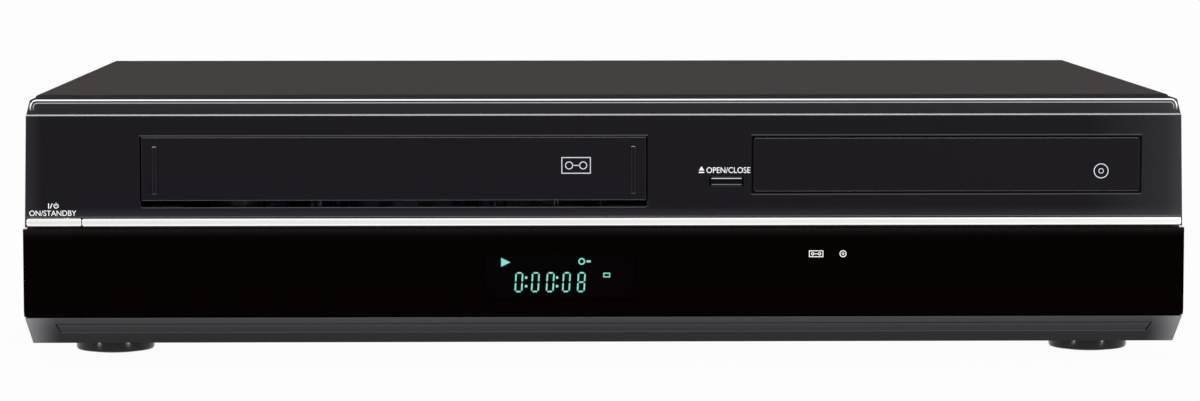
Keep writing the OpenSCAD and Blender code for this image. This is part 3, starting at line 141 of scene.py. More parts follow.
def make_floor():
    """A pale floor, seen as nearly plain white, that keeps the object's shadow."""
    mesh = bpy.data.meshes.new("floor")
    corners = [(x * FLOOR_SIDE, y * FLOOR_SIDE, 0) for x, y in ((-1, -1), (1, -1), (1, 1), (-1, 1))]
    mesh.from_pydata(corners, [], [(0, 1, 2, 3)])
    floor = bpy.data.objects.new("floor", mesh)
    bpy.context.collection.objects.link(floor)
    mat = bpy.data.materials.new("floor_white")
    mat.use_nodes = True
    tree = mat.node_tree
    tree.nodes.clear()
    add = nodes_of(tree)
    diffuse = add("ShaderNodeBsdfDiffuse", Color=(0.86, 0.86, 0.86, 1))
    white = add("ShaderNodeEmission", Color=(1, 1, 1, 1), Strength=1.0)
    share = add("ShaderNodeMath", operation="MULTIPLY")
    share.inputs[1].default_value = FLOOR_WHITE
    tree.links.new(seen_directly(tree), share.inputs[0])
    mix = add("ShaderNodeMixShader")
    out = add("ShaderNodeOutputMaterial")
    tree.links.new(share.outputs[0], mix.inputs[0])
    tree.links.new(diffuse.outputs[0], mix.inputs[1])
    tree.links.new(white.outputs[0], mix.inputs[2])
    tree.links.new(mix.outputs[0], out.inputs[0])
    mesh.materials.append(mat)


# ---------------------------------------------------------------- materials

LINEAR_CUT = 0.04045


def srgb(r, g, b):
    """A display colour, 0 to 255, as the linear colour that shaders take."""
    def one(v):
        v /= 255
        return v / 12.92 if v <= LINEAR_CUT else ((v + 0.055) / 1.055) ** 2.4
    return (one(r), one(g), one(b), 1)


def material(name, base, rough, metal=0.0, vary=0.06, grain=900.0, bump=0.03,
             rough_vary=0.08, ior=1.45, emit=None, spec=0.5):
    """A moulded or finished surface: the base colour drifts a little, and grain lifts it."""
    mat = bpy.data.materials.new(name)
    mat.use_nodes = True
    tree = mat.node_tree
    tree.nodes.clear()
    add = nodes_of(tree)
    link = tree.links.new
    shader = add("ShaderNodeBsdfPrincipled")
    shader.inputs["Metallic"].default_value = metal
    shader.inputs["IOR"].default_value = ior
    shader.inputs["Specular IOR Level"].default_value = spec
    where = add("ShaderNodeTexCoord")

    broad = add("ShaderNodeTexNoise", Scale=7.0, Detail=3.0)
    link(where.outputs["Object"], broad.inputs["Vector"])
    tint = add("ShaderNodeMix", data_type="RGBA")
    low = [max(0.0, c * (1 - vary)) for c in base[:3]] + [1]
    high = [min(1.0, c * (1 + vary)) for c in base[:3]] + [1]
    tint.inputs["A"].default_value = low
    tint.inputs["B"].default_value = high
    link(broad.outputs["Fac"], tint.inputs["Factor"])
    link(tint.outputs["Result"], shader.inputs["Base Color"])

    fine = add("ShaderNodeTexNoise", Scale=grain, Detail=2.0)
    link(where.outputs["Object"], fine.inputs["Vector"])
    spread = add("ShaderNodeMapRange")
    spread.inputs["To Min"].default_value = max(0.02, rough - rough_vary)
    spread.inputs["To Max"].default_value = min(1.0, rough + rough_vary)
    link(fine.outputs["Fac"], spread.inputs["Value"])
    link(spread.outputs["Result"], shader.inputs["Roughness"])

    lift = add("ShaderNodeBump", Strength=bump, Distance=0.0002)
    link(fine.outputs["Fac"], lift.inputs["Height"])
    link(lift.outputs["Normal"], shader.inputs["Normal"])
    if emit:
        shader.inputs["Emission Color"].default_value = emit[0]
        shader.inputs["Emission Strength"].default_value = emit[1]
    out = add("ShaderNodeOutputMaterial")
    link(shader.outputs[0], out.inputs[0])
    return mat


def first_node(mat, kind):
    """A material's first node of a kind."""
    return next(n for n in mat.node_tree.nodes if n.type == kind)


def shader_of(mat):
    return first_node(mat, "BSDF_PRINCIPLED")


LINE_THINNESS = 60               # how many times finer brushed lines are across than along


def brushed(name, base, rough, along, stretch=60.0, bump=0.05):
    """Metal with fine lines that run along one axis."""
    mat = material(name, base, rough, metal=1.0, grain=1.0, bump=bump)
    tree = mat.node_tree
    fine = [n for n in tree.nodes if n.type == "TEX_NOISE"][-1]
    fine.inputs["Detail"].default_value = 4.0
    scale = nodes_of(tree)("ShaderNodeMapping")
    scale.inputs["Scale"].default_value = [stretch if a == along else LINE_THINNESS * stretch
                                           for a in range(3)]
    where = first_node(mat, "TEX_COORD")
    tree.links.new(where.outputs["Object"], scale.inputs["Vector"])
    tree.links.new(scale.outputs["Vector"], fine.inputs["Vector"])
    return mat


# Painted light: the pale colour of painted highlights and of areas painted lighter
PAINTED_LIGHT = srgb(236, 236, 240)


def ramp(mat, value, low, high):
    """0 where a value is at low, 1 where it is at high, straight between them."""
    node = mat.node_tree.nodes.new("ShaderNodeMapRange")
    node.inputs["From Min"].default_value = low
    node.inputs["From Max"].default_value = high
    mat.node_tree.links.new(value, node.inputs["Value"])
    return node.outputs["Result"]


def joined(mat, operation, a, b):
    """Two values, or a value and a number, put through one Math node."""
    node = mat.node_tree.nodes.new("ShaderNodeMath")
    node.operation = operation
    mat.node_tree.links.new(a, node.inputs[0])
    if isinstance(b, (int, float)):
        node.inputs[1].default_value = b
    else:
        mat.node_tree.links.new(b, node.inputs[1])
    return node.outputs[0]


def product(mat, value, *others):
    """One value times each of the others in turn."""
    for other in others:
        value = joined(mat, "MULTIPLY", value, other)
    return value


def steps(mat, value, stops, span):
    """A value read off a list of (place, result), straight between the places."""
    node = mat.node_tree.nodes.new("ShaderNodeValToRGB")
    mat.node_tree.links.new(ramp(mat, value, 0, span), node.inputs["Fac"])
    band = node.color_ramp
    while len(band.elements) > 1:
        band.elements.remove(band.elements[-1])
    for i, (place, result) in enumerate(stops):
        spot = band.elements[0] if i == 0 else band.elements.new(place / span)
        spot.position = place / span
        spot.color = (result, result, result, 1)
    return node.outputs["Color"]


def part_axes(mat, output):
    """X, Y and Z of a texture coordinate output, in the piece's own axes."""
    tree = mat.node_tree
    where = tree.nodes.new("ShaderNodeTexCoord")
    split = tree.nodes.new("ShaderNodeSeparateXYZ")
    tree.links.new(where.outputs[output], split.inputs[0])
    return split.outputs


def paint(mat, colour, factor):
    """Mixes one more colour over a material's base."""
    tree = mat.node_tree
    shader = shader_of(mat)
    under = shader.inputs["Base Color"].links[0].from_socket
    mix = tree.nodes.new("ShaderNodeMix")
    mix.data_type = "RGBA"
    mix.inputs["B"].default_value = colour
    tree.links.new(under, mix.inputs["A"])
    tree.links.new(factor, mix.inputs["Factor"])
    tree.links.new(mix.outputs["Result"], shader.inputs["Base Color"])


def edge_normal(mat, radius):
    """X, Y and Z of a normal that turns within a radius of every edge, in the piece's axes."""
    tree = mat.node_tree
    add = nodes_of(tree)
    soft = add("ShaderNodeBevel", samples=6, Radius=radius)
    own = add("ShaderNodeVectorTransform", vector_type="NORMAL", convert_from="WORLD",
              convert_to="OBJECT")
    split = add("ShaderNodeSeparateXYZ")
    tree.links.new(soft.outputs[0], own.inputs[0])
    tree.links.new(own.outputs[0], split.inputs[0])
    return split.outputs


def facing(mat, axis, low, high):
    """0 to 1 as the surface's own normal, along one of the piece's axes, runs from low to high."""
    return ramp(mat, part_axes(mat, "Normal")[axis], low, high)


def paint_edge_highlights(mat, radius, up, down, aside):
    """Painted highlights on the front edges: up, down and aside say how pale those that turn that way
    are.
    """
    normal = edge_normal(mat, radius)
    front = ramp(mat, normal["Y"], -0.12, -0.3)
    flat = product(mat, front, facing(mat, "Y", -0.4, -0.6))
    across = joined(mat, "ABSOLUTE", normal["X"], 0)
    level = ramp(mat, across, 0.6, 0.3)
    for way, much, seen in ((1, up, front), (-1, down, flat)):
        tilt = ramp(mat, normal["Z"], way * 0.2, way * 0.5)
        paint(mat, PAINTED_LIGHT, product(mat, tilt, level, seen, much))
    paint(mat, PAINTED_LIGHT, product(mat, ramp(mat, across, 0.2, 0.5), flat, aside))


SOFT_STEP = 0.08 * MM


def between(mat, value, low, high, soft=SOFT_STEP):
    """1 where a length lies between two others, and 0 outside, with a soft step."""
    return product(mat, ramp(mat, value, low, low + soft), ramp(mat, value, high, high - soft))


FRONT = ("Y", -0.5, -0.7)        # the normals that count as the front, for facing()


def front_patch(mat, colour, much, low, high):
    """Colour on the front of a piece, inside the box that two corners give."""
    place = part_axes(mat, "Object")
    wide = between(mat, place["X"], low.x, high.x)
    tall = between(mat, place["Z"], low.z, high.z)
    paint(mat, colour, product(mat, facing(mat, *FRONT), wide, tall, much))


def round_frame(mat, half_width, top, radius):
    """How far out a point lies from a frame's inner corner centres: equal to radius on the frame."""
    place = part_axes(mat, "Object")
    tree = mat.node_tree
    out = joined(mat, "SUBTRACT", joined(mat, "ABSOLUTE", place["X"], 0), half_width - radius)
    high = joined(mat, "SUBTRACT", place["Z"], top - radius)
    both = tree.nodes.new("ShaderNodeCombineXYZ")
    tree.links.new(joined(mat, "MAXIMUM", out, 0), both.inputs["X"])
    tree.links.new(joined(mat, "MAXIMUM", high, 0), both.inputs["Z"])
    size = tree.nodes.new("ShaderNodeVectorMath")
    size.operation = "LENGTH"
    tree.links.new(both.outputs[0], size.inputs[0])
    return size.outputs["Value"]


def paint_gap_shade(mat, depth):
    """Painted shade: the walls inside the narrow gaps round the moving fronts, from a depth on, are
    painted nearly black.
    """
    place = part_axes(mat, "Object")
    wall = product(mat, facing(mat, "Y", -0.7, -0.5), facing(mat, "Z", 0.5, 0.3))
    inside = ramp(mat, place["Y"], depth, depth + 0.1 * MM)
    middle = ramp(mat, joined(mat, "ABSOLUTE", place["X"], 0), SIDE_X - 6 * MM, SIDE_X - 7 * MM)
    above = ramp(mat, place["Z"], STRIP_HIGH, STRIP_HIGH + 1 * MM)
    paint(mat, GAP_SHADE_BLACK, product(mat, wall, inside, middle, above))


def dress(mat, *names):
    """Gives CAD nodes a material."""
    for name in names:
        slots = NODES[name].material_slots
        if not slots:
            NODES[name].data.materials.append(mat)
        for s in slots:
            s.material = mat


SHARP_FROM = math.radians(35)     # edges that turn by more than this are rounded


def round_edges(width, *names):
    """A small moulded radius on a CAD node's edges."""
    for name in names:
        obj = NODES[name]
        weld = obj.modifiers.new("weld", "WELD")
        weld.merge_threshold = 0.005 * MM
        bevel = obj.modifiers.new("edges", "BEVEL")
        bevel.width = width
        bevel.segments = 3
        bevel.limit_method = "ANGLE"
        bevel.angle_limit = SHARP_FROM
        bevel.harden_normals = True
        bevel.use_clamp_overlap = True


BLACK_BASE = srgb(21, 19, 24)
# Painted shade: the near-black painted inside gaps and in the seams round openings
GAP_SHADE_BLACK = srgb(2, 2, 2)
COVER = material("cover_paint", srgb(56, 50, 50), 0.8, vary=0.04, grain=2600, bump=0.15, spec=0.03)
BEZEL = material("bezel_plastic", BLACK_BASE, 0.5, vary=0.05, grain=3200, bump=0.08, spec=0.03)
FLAP = material("flap_plastic", BLACK_BASE, 0.48, vary=0.05, grain=3200, bump=0.08, spec=0.03)
BUTTON = material("button_plastic", srgb(9, 8, 9), 0.4, vary=0.05, grain=3200, bump=0.08, spec=0.03)
SKIRT = material("skirt_plastic", BLACK_BASE, 0.34, vary=0.05, grain=3200, bump=0.05, spec=0.03)
DOOR = material("door_gloss", srgb(4, 1, 1), 0.06, vary=0.05, grain=60, bump=0.0,
                rough_vary=0.02, ior=1.2, spec=0.03)
SILVER = brushed("silver_trim", srgb(232, 229, 228), 0.24, 0, stretch=20)
GLOSS_FOOT = material("foot_gloss", srgb(12, 11, 14), 0.2, vary=0.05, grain=500, bump=0.02,
                      rough_vary=0.03, spec=0.3)
RUBBER = material("rubber", srgb(28, 28, 28), 0.85, grain=4000, bump=0.2)
BLACK_SCREW = material("screw_black", srgb(26, 26, 27), 0.38, metal=0.7, grain=2500, bump=0.05)
SHEET = brushed("case_steel", srgb(168, 170, 172), 0.42, 0, stretch=12, bump=0.03)
POLISHED = brushed("bright_steel", srgb(205, 206, 210), 0.16, 1, stretch=30, bump=0.02)
MOULDED = material("frame_plastic", srgb(40, 40, 42), 0.5, grain=2800, bump=0.12)
BASKET = material("basket_plastic", srgb(12, 11, 12), 0.5, grain=2800, bump=0.12, spec=0.1)
CHASSIS = material("chassis_plastic", srgb(120, 119, 115), 0.55, grain=2400, bump=0.12)
KEYS = material("key_plastic", srgb(66, 66, 70), 0.4, grain=2800, bump=0.1)
ACETAL = material("white_plastic", srgb(222, 221, 214), 0.42, grain=1800, bump=0.05)
TURNED = material("drum_metal", srgb(205, 207, 210), 0.2, metal=1.0, grain=1500, bump=0.03)
BOARD = material("circuit_board", srgb(26, 84, 48), 0.35, vary=0.15, grain=700, bump=0.05)
LAMINATE = material("power_laminate", srgb(172, 148, 96), 0.5, vary=0.1, grain=900, bump=0.05)
CHIP = material("component_black", srgb(30, 30, 31), 0.5, grain=3000, bump=0.1)
GLASS = material("display_glass", srgb(8, 10, 10), 0.08, grain=200, bump=0.0, spec=0.1)
PLATED = brushed("socket_metal", srgb(206, 196, 150), 0.25, 1, stretch=40)
MOTOR = brushed("motor_can", srgb(182, 184, 188), 0.35, 2, stretch=30)

LIT = (0.21, 0.70, 0.58, 1)
LIT_STRENGTH = 3.3
GLOW = material("display_lit", LIT, 0.6, emit=(LIT, LIT_STRENGTH))
PRINT = material("print_light", srgb(232, 232, 232), 0.6, vary=0.02)
PRINT_COOL = material("print_cool", srgb(196, 199, 208), 0.6, vary=0.02)


CASE_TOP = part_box("top_cover")[1].z
CORNER_R = 3 * MM
FLAP_H = 23.6 * MM
BUTTON_FLANGE = 1.5      # how far, in millimetres, the open/close button's hidden flange reaches
# How far, in millimetres, the dark seam of painted shade round each moving front reaches past the piece
# in it
OPENINGS = (("cassette_door", 0.8, 0.5), ("tray_front", 0.95, 0.95),
            ("eject_button", 0.65 - BUTTON_FLANGE, 0.45 - BUTTON_FLANGE))
SKIRT_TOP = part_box("front_door")[0].z
STRIP_LOW, STRIP_HIGH = [corner.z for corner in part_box("silver_strip")]
SIDE_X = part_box("top_cover")[1].x
WINDOW_X = (-46 * MM, 12 * MM)
WINDOW_Z = (23 * MM, 42 * MM)
WINDOW_CLEAR = 0.55


def tone_bezel_edges():
    """Painted highlights on the edges that the light catches: strongest at the step under the band."""
    place = part_axes(BEZEL, "Object")
    up = steps(BEZEL, place["Z"], ((0, 0.18), (90 * MM, 0.18), (93 * MM, 0.62), (94 * MM, 0.62),
                                   (94.6 * MM, 0.0)), CASE_TOP)
    down = steps(BEZEL, place["Z"], ((0, 0.0), (20 * MM, 0.0), (54 * MM, 0.25), (57 * MM, 0.25),
                                     (60 * MM, 0.14)), CASE_TOP)
    paint_edge_highlights(BEZEL, 0.45 * MM, up, down, 0.03)


def tone_bezel_lip():
    """Two painted highlight lines that run round the raised lip at the top, and a band under it painted
    a little lighter.
    """
    place = part_axes(BEZEL, "Object")
    front = facing(BEZEL, *FRONT)
    out = round_frame(BEZEL, SIDE_X - 1.1 * MM, CASE_TOP, CORNER_R)
    fade = product(BEZEL, ramp(BEZEL, place["Z"], 95 * MM, 97 * MM), front)
    for inner, outer, much in ((-0.75, -0.15, 1.0), (-1.8, -1.3, 0.36)):
        line = between(BEZEL, out, CORNER_R + inner * MM, CORNER_R + outer * MM)
        paint(BEZEL, PAINTED_LIGHT, product(BEZEL, line, fade, much))
    band = between(BEZEL, place["Z"], 93.9 * MM, 97.6 * MM)
    paint(BEZEL, PAINTED_LIGHT, product(BEZEL, band, front, 0.012))


def tone_bezel_face():
    """Painted light: the face is painted a little lighter at its ends, more so at the right, and just
    above the strip.
    """
    place = part_axes(BEZEL, "Object")
    across = joined(BEZEL, "ABSOLUTE", place["X"], 0)
    right = ramp(BEZEL, place["X"], SIDE_X - 34 * MM, SIDE_X - 2 * MM)
    ends = ramp(BEZEL, across, SIDE_X - 6 * MM, SIDE_X + 1 * MM)
    above = ramp(BEZEL, place["Z"], SKIRT_TOP, SKIRT_TOP + 1 * MM)
    shown = product(BEZEL, facing(BEZEL, *FRONT), above)
    sides = joined(BEZEL, "ADD", right, ends)
    paint(BEZEL, PAINTED_LIGHT, product(BEZEL, sides, shown, 0.014))
    near_strip = ramp(BEZEL, place["Z"], STRIP_HIGH + 4 * MM, STRIP_HIGH + 0.3 * MM)
    paint(BEZEL, PAINTED_LIGHT, product(BEZEL, near_strip, shown, 0.016))


def tone_openings():
    """A dark seam of painted shade round each moving front, with a painted highlight on the lip above
    and below the two large ones.
    """
    paint_gap_shade(BEZEL, FACE_Y + 0.1 * MM)
    for name, beside, over in OPENINGS:
        low, high = [Vector(corner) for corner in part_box(name)]
        if name == "cassette_door":
            high.z = low.z + FLAP_H
        seam = Vector((beside, 0, over)) * MM
        if name != "eject_button":
            lip = seam + Vector((0, 0, 0.45)) * MM
            front_patch(BEZEL, PAINTED_LIGHT, 0.05, low - lip, high + lip)
        front_patch(BEZEL, GAP_SHADE_BLACK, 1.0, low - seam, high + seam)


def dull_bezel_top():
    """The bezel's top is duller than its face."""
    shader = shader_of(BEZEL)
    rough = shader.inputs["Roughness"].links[0].from_socket
    duller = product(BEZEL, facing(BEZEL, "Z", 0.7, 0.9), 0.4)
    BEZEL.node_tree.links.new(joined(BEZEL, "ADD", rough, duller), shader.inputs["Roughness"])


def tone_skirt(mat):
    """The slope under the door: glossier than the face, and painted lighter towards its ends as painted
    light.
    """
    place = part_axes(mat, "Object")
    slope = ramp(mat, part_axes(mat, "Normal")["Z"], -0.3, -0.5)
    below = ramp(mat, place["Z"], SKIRT_TOP + 0.3 * MM, SKIRT_TOP - 0.3 * MM)
    skirt = product(mat, slope, below)
    ends = ramp(mat, joined(mat, "ABSOLUTE", place["X"], 0), SIDE_X - 11 * MM, SIDE_X + 2 * MM)
    ends = joined(mat, "POWER", ends, 1.5)
    paint(mat, PAINTED_LIGHT, product(mat, skirt, ends, 0.3))
    shader = shader_of(mat)
    plain = shader.inputs["Specular IOR Level"].default_value
    gloss = steps(mat, place["Z"], ((0, 0.14), (10 * MM, 0.13), (13 * MM, 0.22), (SKIRT_TOP, 0.64)),
                  CASE_TOP)
    level = joined(mat, "ADD", product(mat, skirt, gloss), plain)
    mat.node_tree.links.new(level, shader.inputs["Specular IOR Level"])


def tone_door():
    """The gloss panel has a painted sheen along its top, and is smoked clear over the display."""
    place = part_axes(DOOR, "Object")
    door_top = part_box("front_door")[1].z
    top = ramp(DOOR, place["Z"], door_top - 4.5 * MM, door_top)
    # Painted sheen: the top of the door is painted a little lighter
    paint(DOOR, srgb(26, 20, 21), joined(DOOR, "POWER", top, 2.2))
    wide = between(DOOR, place["X"], *WINDOW_X, soft=1 * MM)
    tall = between(DOOR, place["Z"], *WINDOW_Z, soft=1 * MM)
    solid = joined(DOOR, "ADD", product(DOOR, wide, tall, -WINDOW_CLEAR), 1.0)
    DOOR.node_tree.links.new(solid, shader_of(DOOR).inputs["Alpha"])


def tone_foot():
    """Fine turned ridges run round a foot; their flanks face up a little and catch the lamps."""
    tree = GLOSS_FOOT.node_tree
    add = nodes_of(tree)
    around = add("ShaderNodeTangent", direction_type="RADIAL", axis="Z")
    shader = shader_of(GLOSS_FOOT)
    tree.links.new(around.outputs[0], shader.inputs["Tangent"])
    shader.inputs["Anisotropic"].default_value = 0.6
    shader.inputs["Anisotropic Rotation"].default_value = 0.25
    ridges = add("ShaderNodeTexWave", bands_direction="Z", wave_profile="SAW", Scale=260.0)
    where = first_node(GLOSS_FOOT, "TEX_COORD")
    tree.links.new(where.outputs["Object"], ridges.inputs["Vector"])
    lift = first_node(GLOSS_FOOT, "BUMP")
    lift.invert = True
    lift.inputs["Strength"].default_value = 1.0
    lift.inputs["Distance"].default_value = 0.16 * MM
    tree.links.new(ridges.outputs["Fac"], lift.inputs["Height"])


def tone_button():
    """Painted highlights along the open/close button's upper and lower edges."""
    low, high = [corner.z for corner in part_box("eject_button")]
    low += BUTTON_FLANGE * MM
    high -= BUTTON_FLANGE * MM
    place = part_axes(BUTTON, "Object")
    front = facing(BUTTON, "Y", -0.1, -0.3)
    for start, stop, much in ((high - 0.4 * MM, high, 0.6), (low, low + 0.4 * MM, 0.16)):
        paint(BUTTON, PAINTED_LIGHT, product(BUTTON, between(BUTTON, place["Z"], start, stop), front, much))


def tone_strip():
    """Painted highlights: the strip is painted white along its upper and lower edges."""
    place = part_axes(SILVER, "Object")
    middle = (STRIP_LOW + STRIP_HIGH) / 2
    half = (STRIP_HIGH - STRIP_LOW) / 2
    off = joined(SILVER, "ABSOLUTE", joined(SILVER, "SUBTRACT", place["Z"], middle), 0)
    edge = ramp(SILVER, off, half - 1.1 * MM, half - 0.5 * MM)
    paint(SILVER, srgb(255, 255, 255), product(SILVER, edge, facing(SILVER, *FRONT)))


def tone_flap():
    """Painted highlights on the edges of the flap and the tray front, with painted shade in the gaps;
    the upper ends of the flap's two ribs are brightest.
    """
    rib_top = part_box("cassette_door")[0].z + FLAP_H - 3.5 * MM
    up = steps(FLAP, part_axes(FLAP, "Object")["Z"],
               ((0, 0.22), (rib_top - 0.7 * MM, 0.22), (rib_top - 0.5 * MM, 0.5),
                (rib_top + 0.1 * MM, 0.5), (rib_top + 0.3 * MM, 0.22)), CASE_TOP)
    paint_edge_highlights(FLAP, 0.4 * MM, up, 0.14, 0.03)
    paint_gap_shade(FLAP, FACE_Y)


def tone_all():
    """The order matters: each tone is painted over the ones before it."""
    tone_bezel_edges()
    tone_bezel_lip()
    tone_bezel_face()
    tone_openings()
    dull_bezel_top()
    tone_skirt(BEZEL)
    tone_skirt(SKIRT)
    tone_door()
    tone_foot()
    tone_flap()
    tone_button()
    tone_strip()


def dress_all():
    dress(COVER, "top_cover")
    dress(BEZEL, "front_bezel")
    dress(BUTTON, "eject_button")
    dress(FLAP, "cassette_door", "tray_front")
    dress(SKIRT, "hinge_cover_strip")
    dress(DOOR, "front_door")
    dress(SILVER, "silver_strip", "power_button")
    dress(GLOSS_FOOT, "feet")
    dress(RUBBER, "foot_pads", "pinch_roller", "drive_belt")
    dress(BLACK_SCREW, "cover_screws")
    dress(SHEET, "bottom_plate", "rear_panel", "deck_plate", "carriage_side_plates", "clamp_bridge",
          "tuner_box", "pinch_arm")
    dress(POLISHED, "door_hinge_pins", "cassette_door_shaft", "cassette_door_spring", "capstan",
          "tape_guides", "guide_rods", "lead_screw")
    dress(BASKET, "cassette_basket")
    dress(MOULDED, "drive_frame", "disc_tray", "fan_frame", "fan_rotor",
          "clamp_puck", "turntable", "optical_pickup", "ac_inlet")
    dress(CHASSIS, "chassis_frame")
    dress(KEYS, "record_key", "stop_key", "play_key", "channel_key")
    dress(ACETAL, "supply_reel", "take_up_reel", "cam_gear", "tray_pinion")
    dress(TURNED, "drum_base", "head_drum", "heat_sink")
    dress(BOARD, "front_board", "main_board")
    dress(LAMINATE, "power_board")
    dress(CHIP, "main_chips", "power_parts")
    dress(GLASS, "display_tube")
    dress(PLATED, "front_jacks", "rear_jacks")
    dress(MOTOR, "loading_motor", "drive_motors")


def round_all():
    round_edges(0.35 * MM, "front_bezel", "top_cover")
    round_edges(0.3 * MM, "cassette_door", "tray_front", "silver_strip", "power_button",
                "eject_button", "hinge_cover_strip")
    round_edges(0.2 * MM, "front_door")
    round_edges(0.25 * MM, "record_key", "stop_key", "play_key", "channel_key", "disc_tray",
                "cassette_basket", "ac_inlet", "feet")
    round_edges(0.12 * MM, "rear_panel", "bottom_plate", "cover_screws")


# ---------------------------------------------------------------- small pieces on the front

PRINT_T = 0.04 * MM
LETTER_T = 0.02 * MM
DOOR_PRINT_Y = FRONT_Y + 0.75 * PRINT_T    # nearly flush, so the print stays inside the CAD box
CAP_SHARE = 0.71                           # height of a capital in the font, of its size


def add_piece(name, mesh, mat, body):
    mesh.materials.append(mat)
    obj = bpy.data.objects.new(name, mesh)
    bpy.context.collection.objects.link(obj)
    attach(obj, body)
    return obj


def mesh_from(bm, name):
    """Closes a piece's construction: its faces turned outwards, as a mesh."""
    bmesh.ops.recalc_face_normals(bm, faces=bm.faces)
    mesh = bpy.data.meshes.new(name)
    bm.to_mesh(mesh)
    bm.free()
    return mesh


def plate_piece(name, outlines, y, mat, body="root"):
    """Flat shapes in X and Z, in millimetres, as thin raised print on a face at y."""
    bm = bmesh.new()
    for outline in outlines:
        verts = [bm.verts.new((x * MM, y, z * MM)) for x, z in outline]
        face = bm.faces.new(verts)
        grown = bmesh.ops.extrude_face_region(bm, geom=[face])
        moved = [v for v in grown["geom"] if isinstance(v, bmesh.types.BMVert)]
        bmesh.ops.translate(bm, verts=moved, vec=(0, -PRINT_T, 0))
    add_piece(name, mesh_from(bm, name), mat, body)


def box_outline(x0, x1, z0, z1):
    return [(x0, z0), (x1, z0), (x1, z1), (x0, z1)]


def ring_outlines(x, z, outer, inner, start=0, stop=360, count=28):
    """A flat ring, or an arc of one, as a row of four-sided cells."""
    cells = []
    for i in range(count):
        a = math.radians(start + (stop - start) * i / count)
        b = math.radians(start + (stop - start) * (i + 1) / count)
        cells.append([(x + r * math.cos(t), z + r * math.sin(t))
                      for r, t in ((inner, a), (outer, a), (outer, b), (inner, b))])
    return cells


def frame_outlines(x0, x1, z0, z1, line):
    return [box_outline(x0, x1, z0, z0 + line), box_outline(x0, x1, z1 - line, z1),
            box_outline(x0, x0 + line, z0 + line, z1 - line),
            box_outline(x1 - line, x1, z0 + line, z1 - line)]


def words(name, text, x, z, height, width):
    """A short plain label on the face, middle at x, foot of its capitals at z, in millimetres."""
    data = bpy.data.curves.new(name, "FONT")
    data.body = text
    data.align_x = "CENTER"
    data.size = height * MM / CAP_SHARE
    data.extrude = LETTER_T
    data.materials.append(PRINT)
    obj = bpy.data.objects.new(name, data)
    obj.location = (x * MM, FACE_Y - LETTER_T, z * MM)
    obj.rotation_euler = (math.radians(90), 0, 0)
    bpy.context.collection.objects.link(obj)
    bpy.context.view_layer.update()
    obj.scale.x = width * MM / obj.dimensions.x
    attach(obj, "root")


SEGMENTS = {"0": "abcdef", "8": "abcdefg"}     # the bars that are lit in each digit


def digit_outlines(char, x, z, w, h, line, lean):
    """One digit of seven bars with small gaps between them, leaning to the right."""
    gap = 0.36
    half = line / 2
    mid = h / 2
    bars = {
        "a": (half + gap, w - half - gap, h - line, h),
        "d": (half + gap, w - half - gap, 0, line),
        "g": (half + gap, w - half - gap, mid - half, mid + half),
        "f": (0, line, mid + gap, h - half - gap),
        "b": (w - line, w, mid + gap, h - half - gap),
        "e": (0, line, half + gap, mid - gap),
        "c": (w - line, w, half + gap, mid - gap),
    }
    made = []
    for s in SEGMENTS[char]:
        x0, x1, z0, z1 = bars[s]
        made.append([(x + a + lean * b / h, z + b) for a, b in box_outline(x0, x1, z0, z1)])
    return made


def make_display():
    """The lit marks in the display: play, the counter at 0:00:08, and two small signs."""
    shapes = [[(-39.05, 35.8), (-35.6, 37.5), (-39.05, 39.2)]]
    foot = 26.15
    for char, x in zip("00008", (-34.1, -27.9, -22.3, -16.2, -10.6)):
        shapes += digit_outlines(char, x, foot, 3.0, 7.6, 0.56, 0.45)
    for x in (-29.65, -18.0):
        for z in (28.45, 31.7):
            shapes.append(box_outline(x - 0.45, x + 0.45, z - 0.45, z + 0.45))
    shapes += ring_outlines(-8.7, 37.8, 1.3, 0.8)
    shapes.append(box_outline(-6.9, -5.3, 37.4, 38.2))
    shapes += frame_outlines(-0.6, 2.0, 31.7, 33.5, 0.4)
    plate_piece("display_marks", shapes, TUBE_Y, GLOW)


def make_front_marks():
    """Plain signs in the places where the front carries print."""
    x, z, r, line = -205.1, 59.6, 0.95, 0.3
    shapes = ring_outlines(x, z, r, r - line, start=125, stop=415, count=22)
    shapes.append(box_outline(x - line / 2, x + line / 2, z, z + r + 0.25))
    shapes.append(box_outline(x - 2.95, x - 2.6, z - r, z + r))
    shapes.append([(x - 2.35, z - r), (x - 2.0, z - r), (x - 1.25, z + r), (x - 1.6, z + r)])
    plate_piece("power_sign", shapes, FACE_Y, PRINT)
    words("power_words", "ON/STANDBY", -206.4, 55.9, 2.05, 17.5)

    x = 36.05
    shapes = [[(x - 1.0, 72.55), (x + 1.0, 72.55), (x, 74.1)],
              box_outline(x - 1.0, x + 1.0, 71.6, 72.05)]
    plate_piece("eject_sign", shapes, FACE_Y, PRINT)
    words("eject_words", "OPEN/CLOSE", 46.1, 71.6, 2.2, 16.4)


def make_tape_sign(name, x, z, w, h, line, y, mat, body):
    """A cassette's outline with its two reels and a window line."""
    shapes = frame_outlines(x - w / 2, x + w / 2, z - h / 2, z + h / 2, line)
    for side in (-1, 1):
        shapes += ring_outlines(x + side * w * 0.24, z, h * 0.24, h * 0.24 - line)
    shapes.append(box_outline(x - w * 0.12, x + w * 0.12, z - line / 2, z + line / 2))
    plate_piece(name, shapes, y, mat, body=body)


def make_disc_sign(name, x, z, r, line, y, mat, body):
    """A disc: a ring and a smaller ring at its middle."""
    shapes = ring_outlines(x, z, r, r - line) + ring_outlines(x, z, r * 0.36, r * 0.36 - line * 0.8)
    plate_piece(name, shapes, y, mat, body=body)


